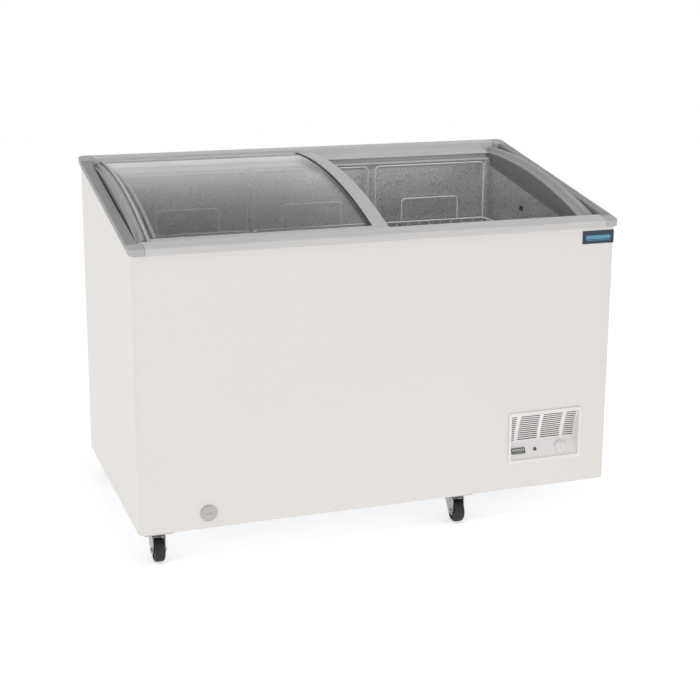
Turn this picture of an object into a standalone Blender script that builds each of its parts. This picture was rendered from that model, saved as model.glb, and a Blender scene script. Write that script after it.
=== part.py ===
"""Display chest freezer with a sloping top and two curved glass lids that slide one over the other.

Metres, +Z up, +X to the right as seen from the front, +Y to the rear.
The origin is on the floor, under the middle of the footprint.
Everything on top of the cabinet is modelled level, with its height counted from the rim line, and is
then leaned back: each point rises by SLOPE times its Y, so that uprights stay upright.
"""

import math

import bmesh
import bpy
from mathutils import Matrix, Vector

# Overall size
WIDTH = 1.265
DEPTH = 0.695
RIM_FRONT_Z = 0.774
RIM_REAR_Z = 0.906
BASE_Z = 0.079
SLOPE = (RIM_REAR_Z - RIM_FRONT_Z) / DEPTH
RIM_MID_Z = (RIM_FRONT_Z + RIM_REAR_Z) / 2

# Cabinet shell
GAP = 0.0003
SHEET = 0.0015
SHELL_X = 0.625
SHELL_Y = 0.340
CORNER_R = 0.015
PANEL_TOP = -0.0178
INNER_X = SHELL_X - SHEET - GAP
INNER_Y = SHELL_Y - SHEET - GAP

# Rim frame, heights from the rim line
LIP_DEEP = 0.017
LIP_THICK = 0.006
RIM_WALL = 0.003
RIM_WALL_LOW = -0.030
CAP_SIZE = 0.038
CAP_REAR_DEEP = 0.047
CAP_R = 0.018
RIM_INSET = 0.001
SIDE_RIM_IN = 0.606
REAR_RIM_IN = 0.3205

# Cavity
LINER_X = 0.560
LINER_Y = 0.275
LINER_WALL = 0.002
LINER_FLOOR = 0.150
LINER_R = 0.022
LINER_TOP = -0.0352
HUMP_X = 0.270
HUMP_Z = 0.400
COIL_GAP = 0.010

# Lid frame and lids: all the arcs share one centre line along X
ARC_Y = 0.008
CROWN = 0.025
GLASS = 0.004
UPPER_R = 1.450
LOWER_R = UPPER_R - 0.0145
ARC_N = CROWN - UPPER_R - GLASS
UPPER_HALF = 0.309
LOWER_HALF = 0.262
ARC_STEPS = 28
LEDGE_EDGE = 0.310
TRACK_STEP = 0.032
TRACK_UP = -0.0165
TRACK_LOW = -0.0315
FRAME_BOTTOM = -0.0345
ARCH_X = 0.600
RAIL_X = SIDE_RIM_IN - 0.0005
SLOT_LOW = -0.030
RIDGE_X = 0.5775
RIDGE_TOE = ((-0.236, 0.0005), (-0.248, -0.0020), (-0.260, -0.0070), (-0.267, -0.0120), (-0.270, -0.0175))
UPPER_LID_X = (-0.576, 0.023)
LOWER_LID_X = (-0.557, 0.023)
GRIP_STILE = 0.040
STILE_DOWN = 0.003
FRONT_STRIP = 0.0208
RUNNER_TIP = 0.0013

# Baskets
BASKET_WIDE = 0.347
BASKET_XS = {"left": -0.355, "middle": 0.004, "right": 0.3655}
BASKET_FRONT = -0.243
BASKET_REAR = 0.255
BASKET_FLOOR = 0.415
BASKET_TOP = 0.690
HANGER_TOP = 0.852
FRONT_HANGER_TOP = 0.742
HANDLE_TOP = 0.755
HANDLE_WIDE = 0.175
WIRE_R = 0.0022

# Castors
CASTOR_XS = {"left": -0.575, "right": 0.210}
CASTOR_Y = 0.295
WHEEL_R = 0.029
WHEEL_WIDE = 0.026
TRAIL = 0.018
PLATE_TOP = BASE_Z - GAP

# Control grille at the lower right of the front
GRILLE_X = (0.340, 0.548)
GRILLE_Z = (0.148, 0.284)
GRILLE_FLANGE = 0.004
GRILLE_CREASE = (-0.320, 0.1975)
GRILLE_FOOT = (-0.3385, 0.156)
GRILLE_HEAD = (-0.3395, 0.2765)
LOUVRES = 12

# Drain plug at the lower left of the front
DRAIN_X = -0.455
DRAIN_Z = 0.117
DRAIN_DISC_R = 0.021
DRAIN_STUB_R = 0.012

# Machine compartment, its rear vent and the bush for the mains cord
COMP_X = 0.460
FAN_Y = -0.205
VENT_X = (0.330, 0.590)
VENT_Z = (0.120, 0.350)
GLAND = (0.400, 0.100)

MODEL = "chest_freezer"
CUTTERS = "cutters"

COLOURS = {
    "white_coating": ((0.75, 0.73, 0.71), 0.35, 0.0),
    "rim_grey": ((0.42, 0.42, 0.43), 0.45, 0.0),
    "corner_grey": ((0.36, 0.36, 0.37), 0.5, 0.0),
    "galvanised": ((0.50, 0.51, 0.52), 0.4, 1.0),
    "foam": ((0.80, 0.70, 0.45), 0.9, 0.0),
    "embossed_metal": ((0.55, 0.56, 0.57), 0.35, 1.0),
    "copper": ((0.72, 0.38, 0.24), 0.3, 1.0),
    "glass": ((0.85, 0.90, 0.90), 0.03, 0.0),
    "white_wire": ((0.80, 0.80, 0.79), 0.3, 0.0),
    "white_plastic": ((0.76, 0.74, 0.74), 0.4, 0.0),
    "display": ((0.09, 0.09, 0.08), 0.2, 0.0),
    "lamp_red": ((0.25, 0.01, 0.02), 0.2, 0.0),
    "plug_grey": ((0.48, 0.46, 0.43), 0.5, 0.0),
    "badge_navy": ((0.02, 0.035, 0.06), 0.3, 0.0),
    "zinc": ((0.45, 0.44, 0.43), 0.35, 1.0),
    "black_rubber": ((0.010, 0.011, 0.011), 0.6, 0.0),
    "black_paint": ((0.02, 0.02, 0.02), 0.35, 0.0),
    "black_plastic": ((0.03, 0.03, 0.03), 0.5, 0.0),
}


# ---------------------------------------------------------------- scene and materials


def clear_scene():
    for obj in list(bpy.data.objects):
        bpy.data.objects.remove(obj, do_unlink=True)
    for group in list(bpy.data.collections):
        bpy.data.collections.remove(group)


def collection(name):
    group = bpy.data.collections.get(name)
    if group is None:
        group = bpy.data.collections.new(name)
        bpy.context.scene.collection.children.link(group)
    return group


def material(name):
    mat = bpy.data.materials.get(name)
    if mat is None:
        colour, roughness, metallic = COLOURS[name]
        mat = bpy.data.materials.new(name)
        mat.use_nodes = True
        shader = mat.node_tree.nodes["Principled BSDF"]
        shader.inputs["Base Color"].default_value = (*colour, 1.0)
        shader.inputs["Roughness"].default_value = roughness
        shader.inputs["Metallic"].default_value = metallic
    return mat


def pivot(name, location, parent=None, tilt=0.0):
    """An empty that marks a joint's axis or a sub-assembly's datum."""
    empty = bpy.data.objects.new(name, None)
    empty.location = location
    empty.rotation_euler = (tilt, 0.0, 0.0)
    empty.parent = parent
    empty.empty_display_size = 0.05
    collection(MODEL).objects.link(empty)
    return empty


def place(name, bm, mat, parent=None, location=(0, 0, 0), smooth=False):
    """Turns a bmesh into a named object of the model."""
    bmesh.ops.recalc_face_normals(bm, faces=bm.faces)
    mesh = bpy.data.meshes.new(name)
    bm.to_mesh(mesh)
    bm.free()
    if smooth:
        mesh.shade_smooth()
        mesh.set_sharp_from_angle(angle=math.radians(35))
    mesh.materials.append(material(mat))
    obj = bpy.data.objects.new(name, mesh)
    obj.parent = parent
    obj.location = location
    collection(MODEL).objects.link(obj)
    return obj


def boolean(obj, bm, operation="DIFFERENCE"):
    """Cuts a shape from an object, or joins one to it; the tool is given in the object's own space."""
    bmesh.ops.recalc_face_normals(bm, faces=bm.faces)
    name = f"{obj.name}_tool_{len(obj.modifiers)}"
    mesh = bpy.data.meshes.new(name)
    bm.to_mesh(mesh)
    bm.free()
    tool = bpy.data.objects.new(name, mesh)
    tool.parent = obj
    tool.hide_render = True
    tool.display_type = "WIRE"
    collection(CUTTERS).objects.link(tool)
    mod = obj.modifiers.new(name, "BOOLEAN")
    mod.operation = operation
    mod.solver = "EXACT"
    mod.object = tool
    return obj


def bevel(obj, width, segments=2):
    mod = obj.modifiers.new("rounded_edges", "BEVEL")
    mod.width = width
    mod.segments = segments
    mod.limit_method = "ANGLE"
    mod.angle_limit = math.radians(40)
    return obj


# ---------------------------------------------------------------- shapes


def box(low, high):
    low, high = Vector(low), Vector(high)
    bm = bmesh.new()
    bmesh.ops.create_cube(bm, size=1.0)
    size = high - low
    bmesh.ops.scale(bm, vec=size, verts=bm.verts)
    bmesh.ops.translate(bm, vec=(low + high) / 2, verts=bm.verts)
    return bm


def cylinder(radius, start, end, segments=24, radius_end=None):
    """A round bar between two points."""
    start, end = Vector(start), Vector(end)
    along = end - start
    bm = bmesh.new()
    bmesh.ops.create_cone(
        bm,
        cap_ends=True,
        segments=segments,
        radius1=radius,
        radius2=radius if radius_end is None else radius_end,
        depth=along.length,
    )
    turn = Vector((0, 0, 1)).rotation_difference(along.normalized()).to_matrix().to_4x4()
    bmesh.ops.transform(bm, matrix=Matrix.Translation((start + end) / 2) @ turn, verts=bm.verts)
    return bm


def prism(outline, axis, low, high):
    """A flat outline extruded along an axis: (y, z) points for X, (x, z) for Y and (x, y) for Z."""
    spot = {
        "X": lambda a, b: (low, a, b),
        "Y": lambda a, b: (a, low, b),
        "Z": lambda a, b: (a, b, low),
    }[axis]
    way = {"X": Vector((1, 0, 0)), "Y": Vector((0, 1, 0)), "Z": Vector((0, 0, 1))}[axis]
    bm = bmesh.new()
    face = bm.faces.new([bm.verts.new(spot(a, b)) for a, b in outline])
    grown = bmesh.ops.extrude_face_region(bm, geom=[face])
    moved = [v for v in grown["geom"] if isinstance(v, bmesh.types.BMVert)]
    bmesh.ops.translate(bm, vec=way * (high - low), verts=moved)
    return bm


def join(*parts):
    """Several shapes in one bmesh, for a tool that cuts in many places."""
    whole = bmesh.new()
    for part in parts:
        mesh = bpy.data.meshes.new("piece")
        part.to_mesh(mesh)
        part.free()
        whole.from_mesh(mesh)
        bpy.data.meshes.remove(mesh)
    return whole


def round_corner(cx, cy, radius, start_deg, steps=4):
    """A quarter circle, anticlockwise."""
    angles = [math.radians(start_deg + 90 * i / steps) for i in range(steps + 1)]
    return [(cx + radius * math.cos(a), cy + radius * math.sin(a)) for a in angles]


def rounded_rect(x0, y0, x1, y1, radius, steps=4):
    return (
        round_corner(x1 - radius, y1 - radius, radius, 0, steps)
        + round_corner(x0 + radius, y1 - radius, radius, 90, steps)
        + round_corner(x0 + radius, y0 + radius, radius, 180, steps)
        + round_corner(x1 - radius, y0 + radius, radius, 270, steps)
    )


def lean(bm, above=None):
    """Leans a level shape back along the slope, or only its top where a height is given."""
    for v in bm.verts:
        if above is None or v.co.z > above:
            v.co.z += SLOPE * v.co.y
    return bm


def arc_n(radius, across):
    """Height from the rim line of an arc, at a distance from its middle."""
    return math.sqrt(radius**2 - across**2) + ARC_N


def arc_sweep(section, front, rear, radius):
    """A section of (x, radius) points swept along the lids' arc, between two reaches from its middle."""
    angle, rest = math.asin(front / radius), math.asin(rear / radius)
    centre = Vector((0, ARC_Y, ARC_N))
    bm = bmesh.new()
    start = [(x, ARC_Y - r * math.sin(angle), ARC_N + r * math.cos(angle)) for x, r in section]
    face = bm.faces.new([bm.verts.new(p) for p in start])
    bmesh.ops.spin(
        bm,
        geom=[face],
        cent=centre,
        axis=(-1, 0, 0),
        angle=angle + rest,
        steps=ARC_STEPS,
        use_duplicate=False,
    )
    return lean(bm)


def wire(name, points, radius, mat, cyclic=False, parent=None, resolution=2):
    """A round wire along straight runs, as a mesh."""
    curve = bpy.data.curves.new(name, "CURVE")
    curve.dimensions = "3D"
    curve.bevel_depth = radius
    curve.bevel_resolution = resolution
    curve.use_fill_caps = True
    spline = curve.splines.new("POLY")
    spline.points.add(len(points) - 1)
    for point, spot in zip(spline.points, points):
        point.co = (*spot, 1.0)
    spline.use_cyclic_u = cyclic
    guide = bpy.data.objects.new(name + "_curve", curve)
    collection(MODEL).objects.link(guide)
    bpy.context.view_layer.update()
    graph = bpy.context.evaluated_depsgraph_get()
    mesh = bpy.data.meshes.new_from_object(guide.evaluated_get(graph))
    bpy.data.objects.remove(guide, do_unlink=True)
    bm = bmesh.new()
    bm.from_mesh(mesh)
    bpy.data.meshes.remove(mesh)
    bmesh.ops.remove_doubles(bm, verts=bm.verts, dist=0.00001)
    if mat is None:
        return bm
    return place(name, bm, mat, parent, smooth=True)


# ---------------------------------------------------------------- cabinet


def build_cabinet_wrap():
    """Front and both sides, bent from one sheet."""
    outer = (
        [(-SHELL_X, SHELL_Y)]
        + round_corner(-SHELL_X + CORNER_R, -SHELL_Y + CORNER_R, CORNER_R, 180)
        + round_corner(SHELL_X - CORNER_R, -SHELL_Y + CORNER_R, CORNER_R, 270)
        + [(SHELL_X, SHELL_Y)]
    )
    inner_x, inner_y, inner_r = SHELL_X - SHEET, SHELL_Y - SHEET, CORNER_R - SHEET
    inner = (
        [(-inner_x, SHELL_Y)]
        + round_corner(-inner_x + inner_r, -inner_y + inner_r, inner_r, 180)
        + round_corner(inner_x - inner_r, -inner_y + inner_r, inner_r, 270)
        + [(inner_x, SHELL_Y)]
    )
    top = RIM_MID_Z + PANEL_TOP
    bm = lean(prism(outer + inner[::-1], "Z", BASE_Z, top), above=0.5)
    wrap = place("cabinet_wrap", bm, "white_coating")
    hole_low = (GRILLE_X[0] + GRILLE_FLANGE - 0.0005, -0.36, GRILLE_Z[0] + GRILLE_FLANGE - 0.0005)
    hole_high = (GRILLE_X[1] - GRILLE_FLANGE + 0.0005, -0.30, GRILLE_Z[1] - GRILLE_FLANGE + 0.0005)
    boolean(wrap, box(hole_low, hole_high))
    boolean(wrap, cylinder(DRAIN_STUB_R + 0.0008, (DRAIN_X, -0.36, DRAIN_Z), (DRAIN_X, -0.32, DRAIN_Z)))
    return wrap



def build_rear_panel():
    top = RIM_MID_Z + PANEL_TOP
    bm = box((-INNER_X, SHELL_Y - SHEET, BASE_Z), (INNER_X, SHELL_Y, top))
    panel = place("rear_panel", lean(bm, above=0.5), "galvanised")
    low = (VENT_X[0] - GAP, 0.30, VENT_Z[0] - GAP)
    high = (VENT_X[1] + GAP, 0.36, VENT_Z[1] + GAP)
    boolean(panel, box(low, high))
    x, z = GLAND
    boolean(panel, cylinder(0.0105, (x, 0.30, z), (x, 0.36, z)))


def build_rear_vent():
    """Louvred cover of the machine compartment, set into the rear panel."""
    y0, y1 = SHELL_Y - 0.0025, SHELL_Y - 0.0005
    vent = place(
        "rear_vent_grille",
        box((VENT_X[0], y0, VENT_Z[0]), (VENT_X[1], y1, VENT_Z[1])),
        "galvanised",
    )
    slots = []
    middle = (VENT_X[0] + VENT_X[1]) / 2
    for column in (-1, 1):
        x = middle + column * 0.060
        for row in range(8):
            z = VENT_Z[0] + 0.024 + 0.026 * row
            slots.append(box((x - 0.048, y0 - 0.01, z - 0.005), (x + 0.048, y1 + 0.01, z + 0.005)))
    boolean(vent, join(*slots))


def build_base_panel():
    r = CORNER_R - SHEET
    outline = (
        [(INNER_X, INNER_Y - 0.0005), (-INNER_X, INNER_Y - 0.0005)]
        + round_corner(-INNER_X + r, -INNER_Y + r, r, 180)
        + round_corner(INNER_X - r, -INNER_Y + r, r, 270)
    )
    base = place("base_panel", prism(outline, "Z", BASE_Z, BASE_Z + SHEET), "galvanised")
    slots = []
    for i in range(6):
        x = 0.36 + 0.04 * i
        slots.append(box((x, -0.12, BASE_Z - 0.01), (x + 0.02, -0.04, BASE_Z + 0.01)))
    boolean(base, join(*slots))


def build_foam():
    """Insulation between the shell and the liner, hollow at the lower right for the machine."""
    r = CORNER_R
    outline = (
        [(INNER_X - 0.0005, INNER_Y - 0.0025), (-INNER_X + 0.0005, INNER_Y - 0.0025)]
        + round_corner(-INNER_X + 0.0005 + r, -INNER_Y + 0.0005 + r, r, 180)
        + round_corner(INNER_X - 0.0005 - r, -INNER_Y + 0.0005 + r, r, 270)
    )
    low = BASE_Z + SHEET + GAP
    top = RIM_MID_Z + LINER_TOP - 0.001
    foam = place("foam_insulation", lean(prism(outline, "Z", low, top), above=0.5), "foam")
    wall = LINER_WALL + COIL_GAP
    x, y = LINER_X + wall, LINER_Y + wall
    cavity = prism(rounded_rect(-x, -y, x, y, 0.03), "Z", HUMP_Z - 0.004, 1.1)
    boolean(foam, cavity)
    well = prism(rounded_rect(-x, -y, HUMP_X + LINER_WALL + 0.004, y, 0.002), "Z", LINER_FLOOR - 0.004, 0.5)
    boolean(foam, well)
    left = HUMP_X + LINER_WALL + 0.030
    boolean(foam, box((left, -0.5, 0.0), (0.7, 0.5, HUMP_Z - 0.025)))
    pocket = cylinder(DRAIN_STUB_R + 0.003, (DRAIN_X, -0.36, DRAIN_Z), (DRAIN_X, -0.30, DRAIN_Z))
    boolean(foam, pocket)


def build_liner():
    """Embossed sheet tub with a step over the machine compartment."""
    x, y = LINER_X + LINER_WALL, LINER_Y + LINER_WALL
    top = RIM_MID_Z + LINER_TOP
    outer = lean(
        prism(rounded_rect(-x, -y, x, y, LINER_R + LINER_WALL), "Z", LINER_FLOOR - LINER_WALL, top),
        above=0.5,
    )
    liner = place("inner_liner", outer, "embossed_metal")
    inner = prism(rounded_rect(-LINER_X, -LINER_Y, LINER_X, LINER_Y, LINER_R), "Z", HUMP_Z, 1.1)
    boolean(liner, inner)
    well = prism(rounded_rect(-LINER_X, -LINER_Y, HUMP_X, LINER_Y, LINER_R), "Z", LINER_FLOOR, 0.5)
    boolean(liner, well)
    outside = box((HUMP_X + LINER_WALL, -0.4, 0.1), (0.7, 0.4, HUMP_Z - LINER_WALL))
    boolean(liner, outside)
    boolean(liner, box((0.55, 0.047, 0.7365), (0.57, 0.067, 0.7505)))


def build_evaporator():
    """Tube wound round the outside of the liner, in the gap before the foam."""
    x = LINER_X + LINER_WALL + COIL_GAP / 2
    y = LINER_Y + LINER_WALL + COIL_GAP / 2
    loop = rounded_rect(-x, -y, x, y, 0.028, steps=3)
    turns = 5
    high, low = 0.660, 0.440
    count = turns * len(loop)
    points = []
    for i in range(count):
        px, py = loop[i % len(loop)]
        points.append((px, py, high - (high - low) * i / (count - 1)))
    wire("evaporator_coil", points, 0.0032, "copper")


# ---------------------------------------------------------------- rim frame


def channel(outer, inner, toward):
    """Rim profile as (across, height) points: outer lip, top and inner wall; open below."""
    lip = outer - toward * LIP_THICK
    wall = inner + toward * RIM_WALL
    return [
        (outer, -LIP_DEEP),
        (outer, -0.002),
        (outer - toward * 0.002, 0.0),
        (inner, 0.0),
        (inner, RIM_WALL_LOW),
        (wall, RIM_WALL_LOW),
        (wall, -0.004),
        (lip, -0.004),
        (lip, -LIP_DEEP),
    ]


def build_rims(top):
    edge_x, edge_y = WIDTH / 2 - RIM_INSET, DEPTH / 2 - RIM_INSET
    long_x = WIDTH / 2 - CAP_SIZE - GAP
    front_y = DEPTH / 2 - CAP_SIZE - GAP
    rear_y = DEPTH / 2 - CAP_REAR_DEEP - GAP
    front = prism(channel(-edge_y, -front_y - 0.0003, -1), "X", -long_x, long_x)
    place("front_rim", lean(front), "rim_grey", top)
    rear = prism(channel(edge_y, REAR_RIM_IN, 1), "X", -long_x, long_x)
    place("rear_rim", lean(rear), "rim_grey", top)
    for side, sign in (("left", -1), ("right", 1)):
        bm = prism(channel(sign * edge_x, sign * SIDE_RIM_IN, sign), "Y", -front_y, rear_y)
        place(f"{side}_rim", lean(bm), "rim_grey", top)


def build_corner_caps(top):
    """Moulded caps over the mitres of the rim, each with one large rounded corner."""
    half_x, half_y = WIDTH / 2, DEPTH / 2
    for side, sx in (("left", -1), ("right", 1)):
        for end, sy, deep in (("front", -1, CAP_SIZE), ("rear", 1, CAP_REAR_DEEP)):
            cx, cy = half_x - CAP_R, half_y - CAP_R
            corner = round_corner(cx, cy, CAP_R, 0, steps=5)
            outline = [(half_x - CAP_SIZE, half_y - deep), (half_x, half_y - deep)]
            outline += corner + [(half_x - CAP_SIZE, half_y)]
            outline = [(sx * x, sy * y) for x, y in outline]
            bm = lean(prism(outline, "Z", -LIP_DEEP, 0.0))
            bevel(place(f"{end}_{side}_corner_cap", bm, "corner_grey", top), 0.0015, 1)


# ---------------------------------------------------------------- lid frame


def build_lid_rail(name, edge, toward, deep, top):
    """A rail with an upper track, and a lower one a step inside it: toward is +1 for the front rail."""
    wall = 0.003
    step = TRACK_STEP
    profile = [
        (-deep, 0.0),
        (0.0, 0.0),
        (0.0, TRACK_UP),
        (step + 0.0125, TRACK_UP),
        (step + 0.0125, TRACK_UP - 0.0015),
        (step, TRACK_UP - 0.0015),
        (step, TRACK_LOW),
        (step + 0.020, TRACK_LOW),
        (step + 0.020, FRAME_BOTTOM),
        (step - wall, FRAME_BOTTOM),
        (step - wall, TRACK_UP - wall),
        (-deep + wall, TRACK_UP - wall),
        (-deep + wall, FRAME_BOTTOM),
        (-deep, FRAME_BOTTOM),
    ]
    outline = [(edge + toward * d, n) for d, n in profile]
    rail = place(name, lean(prism(outline, "X", -RAIL_X, RAIL_X)), "rim_grey", top)
    blocks = []
    for sign in (-1, 1):
        x0, x1 = sorted((sign * (LINER_X - 0.0005), sign * (RAIL_X + 0.01)))
        y0, y1 = sorted((edge - toward * 0.00005, edge + toward * 0.06))
        blocks.append(lean(box((x0, y0, -0.06), (x1, y1, 0.02))))
    boolean(rail, join(*blocks))
    clear_corners(rail)


def clear_corners(shape):
    """Cuts the open slot beside each side rim, and the room of the rear corner caps."""
    for sign in (-1, 1):
        x0, x1 = sorted((sign * (ARCH_X + 0.0002), sign * (RAIL_X + 0.01)))
        boolean(shape, lean(box((x0, -0.4, SLOT_LOW), (x1, 0.4, 0.06))))
        x0, x1 = sorted((sign * (WIDTH / 2 - CAP_SIZE - 0.0005), sign * (RAIL_X + 0.01)))
        boolean(shape, lean(box((x0, DEPTH / 2 - CAP_REAR_DEEP - 0.0005, -0.06), (x1, 0.4, 0.06))))


def build_end_arch(name, sign, top):
    """End of the lid frame: a web with a shelf under the lids' ends, a broad ridge and a thin one."""
    crest = UPPER_R
    half = LEDGE_EDGE - 0.0005
    arc = [-half + 2 * half * i / ARC_STEPS for i in range(ARC_STEPS + 1)]
    outline = [(ARC_Y + d, arc_n(crest, d)) for d in arc]
    outline += [(ARC_Y + half, FRAME_BOTTOM), (ARC_Y - half, FRAME_BOTTOM)]
    x0, x1 = sorted((sign * LINER_X, sign * RAIL_X))
    arch = place(name, lean(prism(outline, "X", x0, x1)), "rim_grey", top)
    section = [
        (LINER_X - 0.010, crest + 0.010),
        (LINER_X - 0.010, crest - 0.0125),
        (RIDGE_X - 0.001, crest - 0.0125),
        (RIDGE_X, crest - 0.0030),
        (RIDGE_X + 0.002, crest - 0.0010),
        (RIDGE_X + 0.009, crest - 0.0010),
        (RIDGE_X + 0.0115, crest - 0.0025),
        (RIDGE_X + 0.0145, crest - 0.0090),
        (ARCH_X - 0.002, crest - 0.0090),
        (ARCH_X - 0.0015, crest - 0.0075),
        (RAIL_X + 0.010, crest - 0.0075),
        (RAIL_X + 0.010, crest + 0.010),
    ]
    reach = half + 0.02
    boolean(arch, arc_sweep([(sign * x, r) for x, r in section], reach, reach, crest))
    toe = [(d, n) for d, n in RIDGE_TOE] + [(-0.35, RIDGE_TOE[-1][1]), (-0.35, 0.05), (RIDGE_TOE[0][0], 0.05)]
    x0, x1 = sorted((sign * (RIDGE_X - 0.002), sign * (ARCH_X - 0.002)))
    boolean(arch, lean(prism([(ARC_Y + d, n) for d, n in toe], "X", x0, x1)))
    clear_corners(arch)


def runner_profile(radius, half, foot, seat, tip):
    """A runner as (across, height) points: it holds the glass at its seat and slides on its foot."""
    inner = seat - 0.0072
    return [
        (-half, foot),
        (-inner, foot),
        (-inner, arc_n(radius, inner) - GAP),
        (-seat, arc_n(radius, seat) - GAP),
        (-seat, tip),
        (-half, tip),
    ]


def build_lid(side, spans, radius, half, foot, strip, stiles):
    """One sliding lid: curved glass between two curved stiles, with a runner at each end of the arc."""
    slide = pivot(f"{side}_lid_slide", (sum(spans) / 2, 0, RIM_MID_Z))
    end = (spans[1] - spans[0]) / 2
    (left_name, left_wide, left_up), (right_name, right_wide, right_up) = stiles
    for name, x0, x1, up in (
        (left_name, -end, -end + left_wide, left_up),
        (right_name, end - right_wide, end, right_up),
    ):
        low, high = radius - STILE_DOWN, radius + up
        round_x = min(0.003, (x1 - x0) / 3)
        section = [(x0, low), (x1, low), (x1, high - 0.0015), (x1 - round_x, high), (x0 + round_x, high)]
        section.append((x0, high - 0.0015))
        sweep = arc_sweep(section, half - 0.001, half - 0.001, radius)
        place(f"{side}_lid_{name}", sweep, "rim_grey", slide, smooth=True)
    x0, x1 = -end + left_wide + GAP, end - right_wide - GAP
    sheet = [(x0, radius), (x1, radius), (x1, radius + GLASS), (x0, radius + GLASS)]
    front_seat, rear_seat = half - strip, half - RUNNER_TIP
    glass = arc_sweep(sheet, front_seat - 0.0012, rear_seat - 0.0012, radius)
    place(f"{side}_lid_glass", glass, "glass", slide, smooth=True)
    tip = arc_n(radius + GLASS, half)
    front_tip = max(tip, -0.002) if strip > RUNNER_TIP else tip
    front = runner_profile(radius, half, foot, front_seat, front_tip)
    rear = runner_profile(radius, half, foot, rear_seat, tip)
    for end_name, flip, profile in (("front_runner", 1, front), ("rear_runner", -1, rear)):
        outline = [(ARC_Y + flip * d, n) for d, n in profile]
        place(f"{side}_lid_{end_name}", lean(prism(outline, "X", x0, x1)), "rim_grey", slide)


# ---------------------------------------------------------------- baskets


def frame_loop(x, y, low, high, corner=0.012):
    """Points of an upright wire arch with rounded top corners."""
    points = [(-x, y, low)]
    for cx, start in ((-x + corner, 180), (x - corner, 90)):
        for i in range(4):
            a = math.radians(start - 30 * i)
            points.append((cx + corner * math.cos(a), y, high - corner + corner * math.sin(a)))
    points.append((x, y, low))
    return points


def build_basket(side):
    """A wire basket in plain form: a thin tub with hanger and handle loops standing on its rail."""
    height = BASKET_TOP - BASKET_FLOOR
    datum = pivot(f"{side}_basket_lift", (BASKET_XS[side], 0, BASKET_FLOOR))
    x = BASKET_WIDE / 2
    wall = 0.003
    y0, y1 = BASKET_FRONT, BASKET_REAR
    tub = place(f"{side}_basket", box((-x, y0, 0), (x, y1, height)), "white_wire", datum)
    boolean(tub, box((-x + wall, y0 + wall, wall), (x - wall, y1 - wall, height + 0.1)))
    sunk = height - 0.012
    rear = y1 - wall / 2
    loops = [
        (x - 0.004, rear, HANGER_TOP - BASKET_FLOOR),
        (HANDLE_WIDE / 2, rear, HANDLE_TOP - BASKET_FLOOR),
        (x - 0.004, y0 + wall / 2, FRONT_HANGER_TOP - BASKET_FLOOR),
    ]
    for half, y, high in loops:
        points = frame_loop(half, y, sunk, high)
        boolean(tub, wire("loop", points, WIRE_R, None, resolution=1), "UNION")


# ---------------------------------------------------------------- castors


def build_castor(end, side):
    """Swivel castor: the plate is fixed, the fork turns under it, and the wheel turns on its axle."""
    sy = -1 if end == "front" else 1
    name = f"{end}_{side}_castor"
    swivel = pivot(f"{name}_swivel", (CASTOR_XS[side], sy * CASTOR_Y, 0))
    sheet = box((-0.038, -0.038, PLATE_TOP - 0.005), (0.038, 0.038, PLATE_TOP))
    plate = place(f"{name}_plate", sheet, "zinc", swivel)
    race_low = PLATE_TOP - 0.011
    boolean(plate, cylinder(0.020, (0, 0, PLATE_TOP - 0.001), (0, 0, race_low), 20), "UNION")
    crown_top = race_low - 0.0004
    leg_in, leg_out = WHEEL_WIDE / 2 + 0.001, WHEEL_WIDE / 2 + 0.0035
    axle_y = sy * TRAIL
    side_view = [
        (-sy * 0.018, crown_top),
        (-sy * 0.018, crown_top - 0.012),
        (axle_y - sy * 0.012, WHEEL_R - 0.009),
        (axle_y + sy * 0.009, WHEEL_R - 0.009),
        (axle_y + sy * 0.014, WHEEL_R + 0.004),
        (sy * 0.030, crown_top - 0.008),
        (sy * 0.027, crown_top),
    ]
    fork = place(f"{name}_fork", prism(side_view, "X", -leg_out, leg_out), "zinc", swivel)
    boolean(fork, box((-leg_in, -0.06, -0.02), (leg_in, 0.06, crown_top - 0.003)))
    hole = cylinder(0.0036, (-0.03, axle_y, WHEEL_R), (0.03, axle_y, WHEEL_R), 12)
    boolean(fork, hole)
    spin = pivot(f"{name}_spin", (0, axle_y, WHEEL_R), swivel)
    place(
        f"{name}_axle",
        cylinder(0.0030, (-leg_out - 0.001, 0, 0), (leg_out + 0.001, 0, 0), 12),
        "zinc",
        spin,
        smooth=True,
    )
    half = WHEEL_WIDE / 2
    wheel = place(f"{name}_wheel", cylinder(WHEEL_R, (-half, 0, 0), (half, 0, 0), 32), "black_rubber", spin)
    bevel(wheel, 0.003, 1)
    boolean(wheel, cylinder(0.0036, (-0.03, 0, 0), (0.03, 0, 0), 12))


# ---------------------------------------------------------------- fittings on the front


def louvre_face():
    """The grille's curved upper face, from its head down to the crease, as (y, z) points."""
    (hy, hz), (cy, cz) = GRILLE_HEAD, GRILLE_CREASE
    points = []
    steps = 6
    for i in range(steps + 1):
        t = i / steps
        points.append((hy + (cy - hy) * math.sin(t * math.pi / 2), hz + (cz - hz) * t))
    return points


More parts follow.
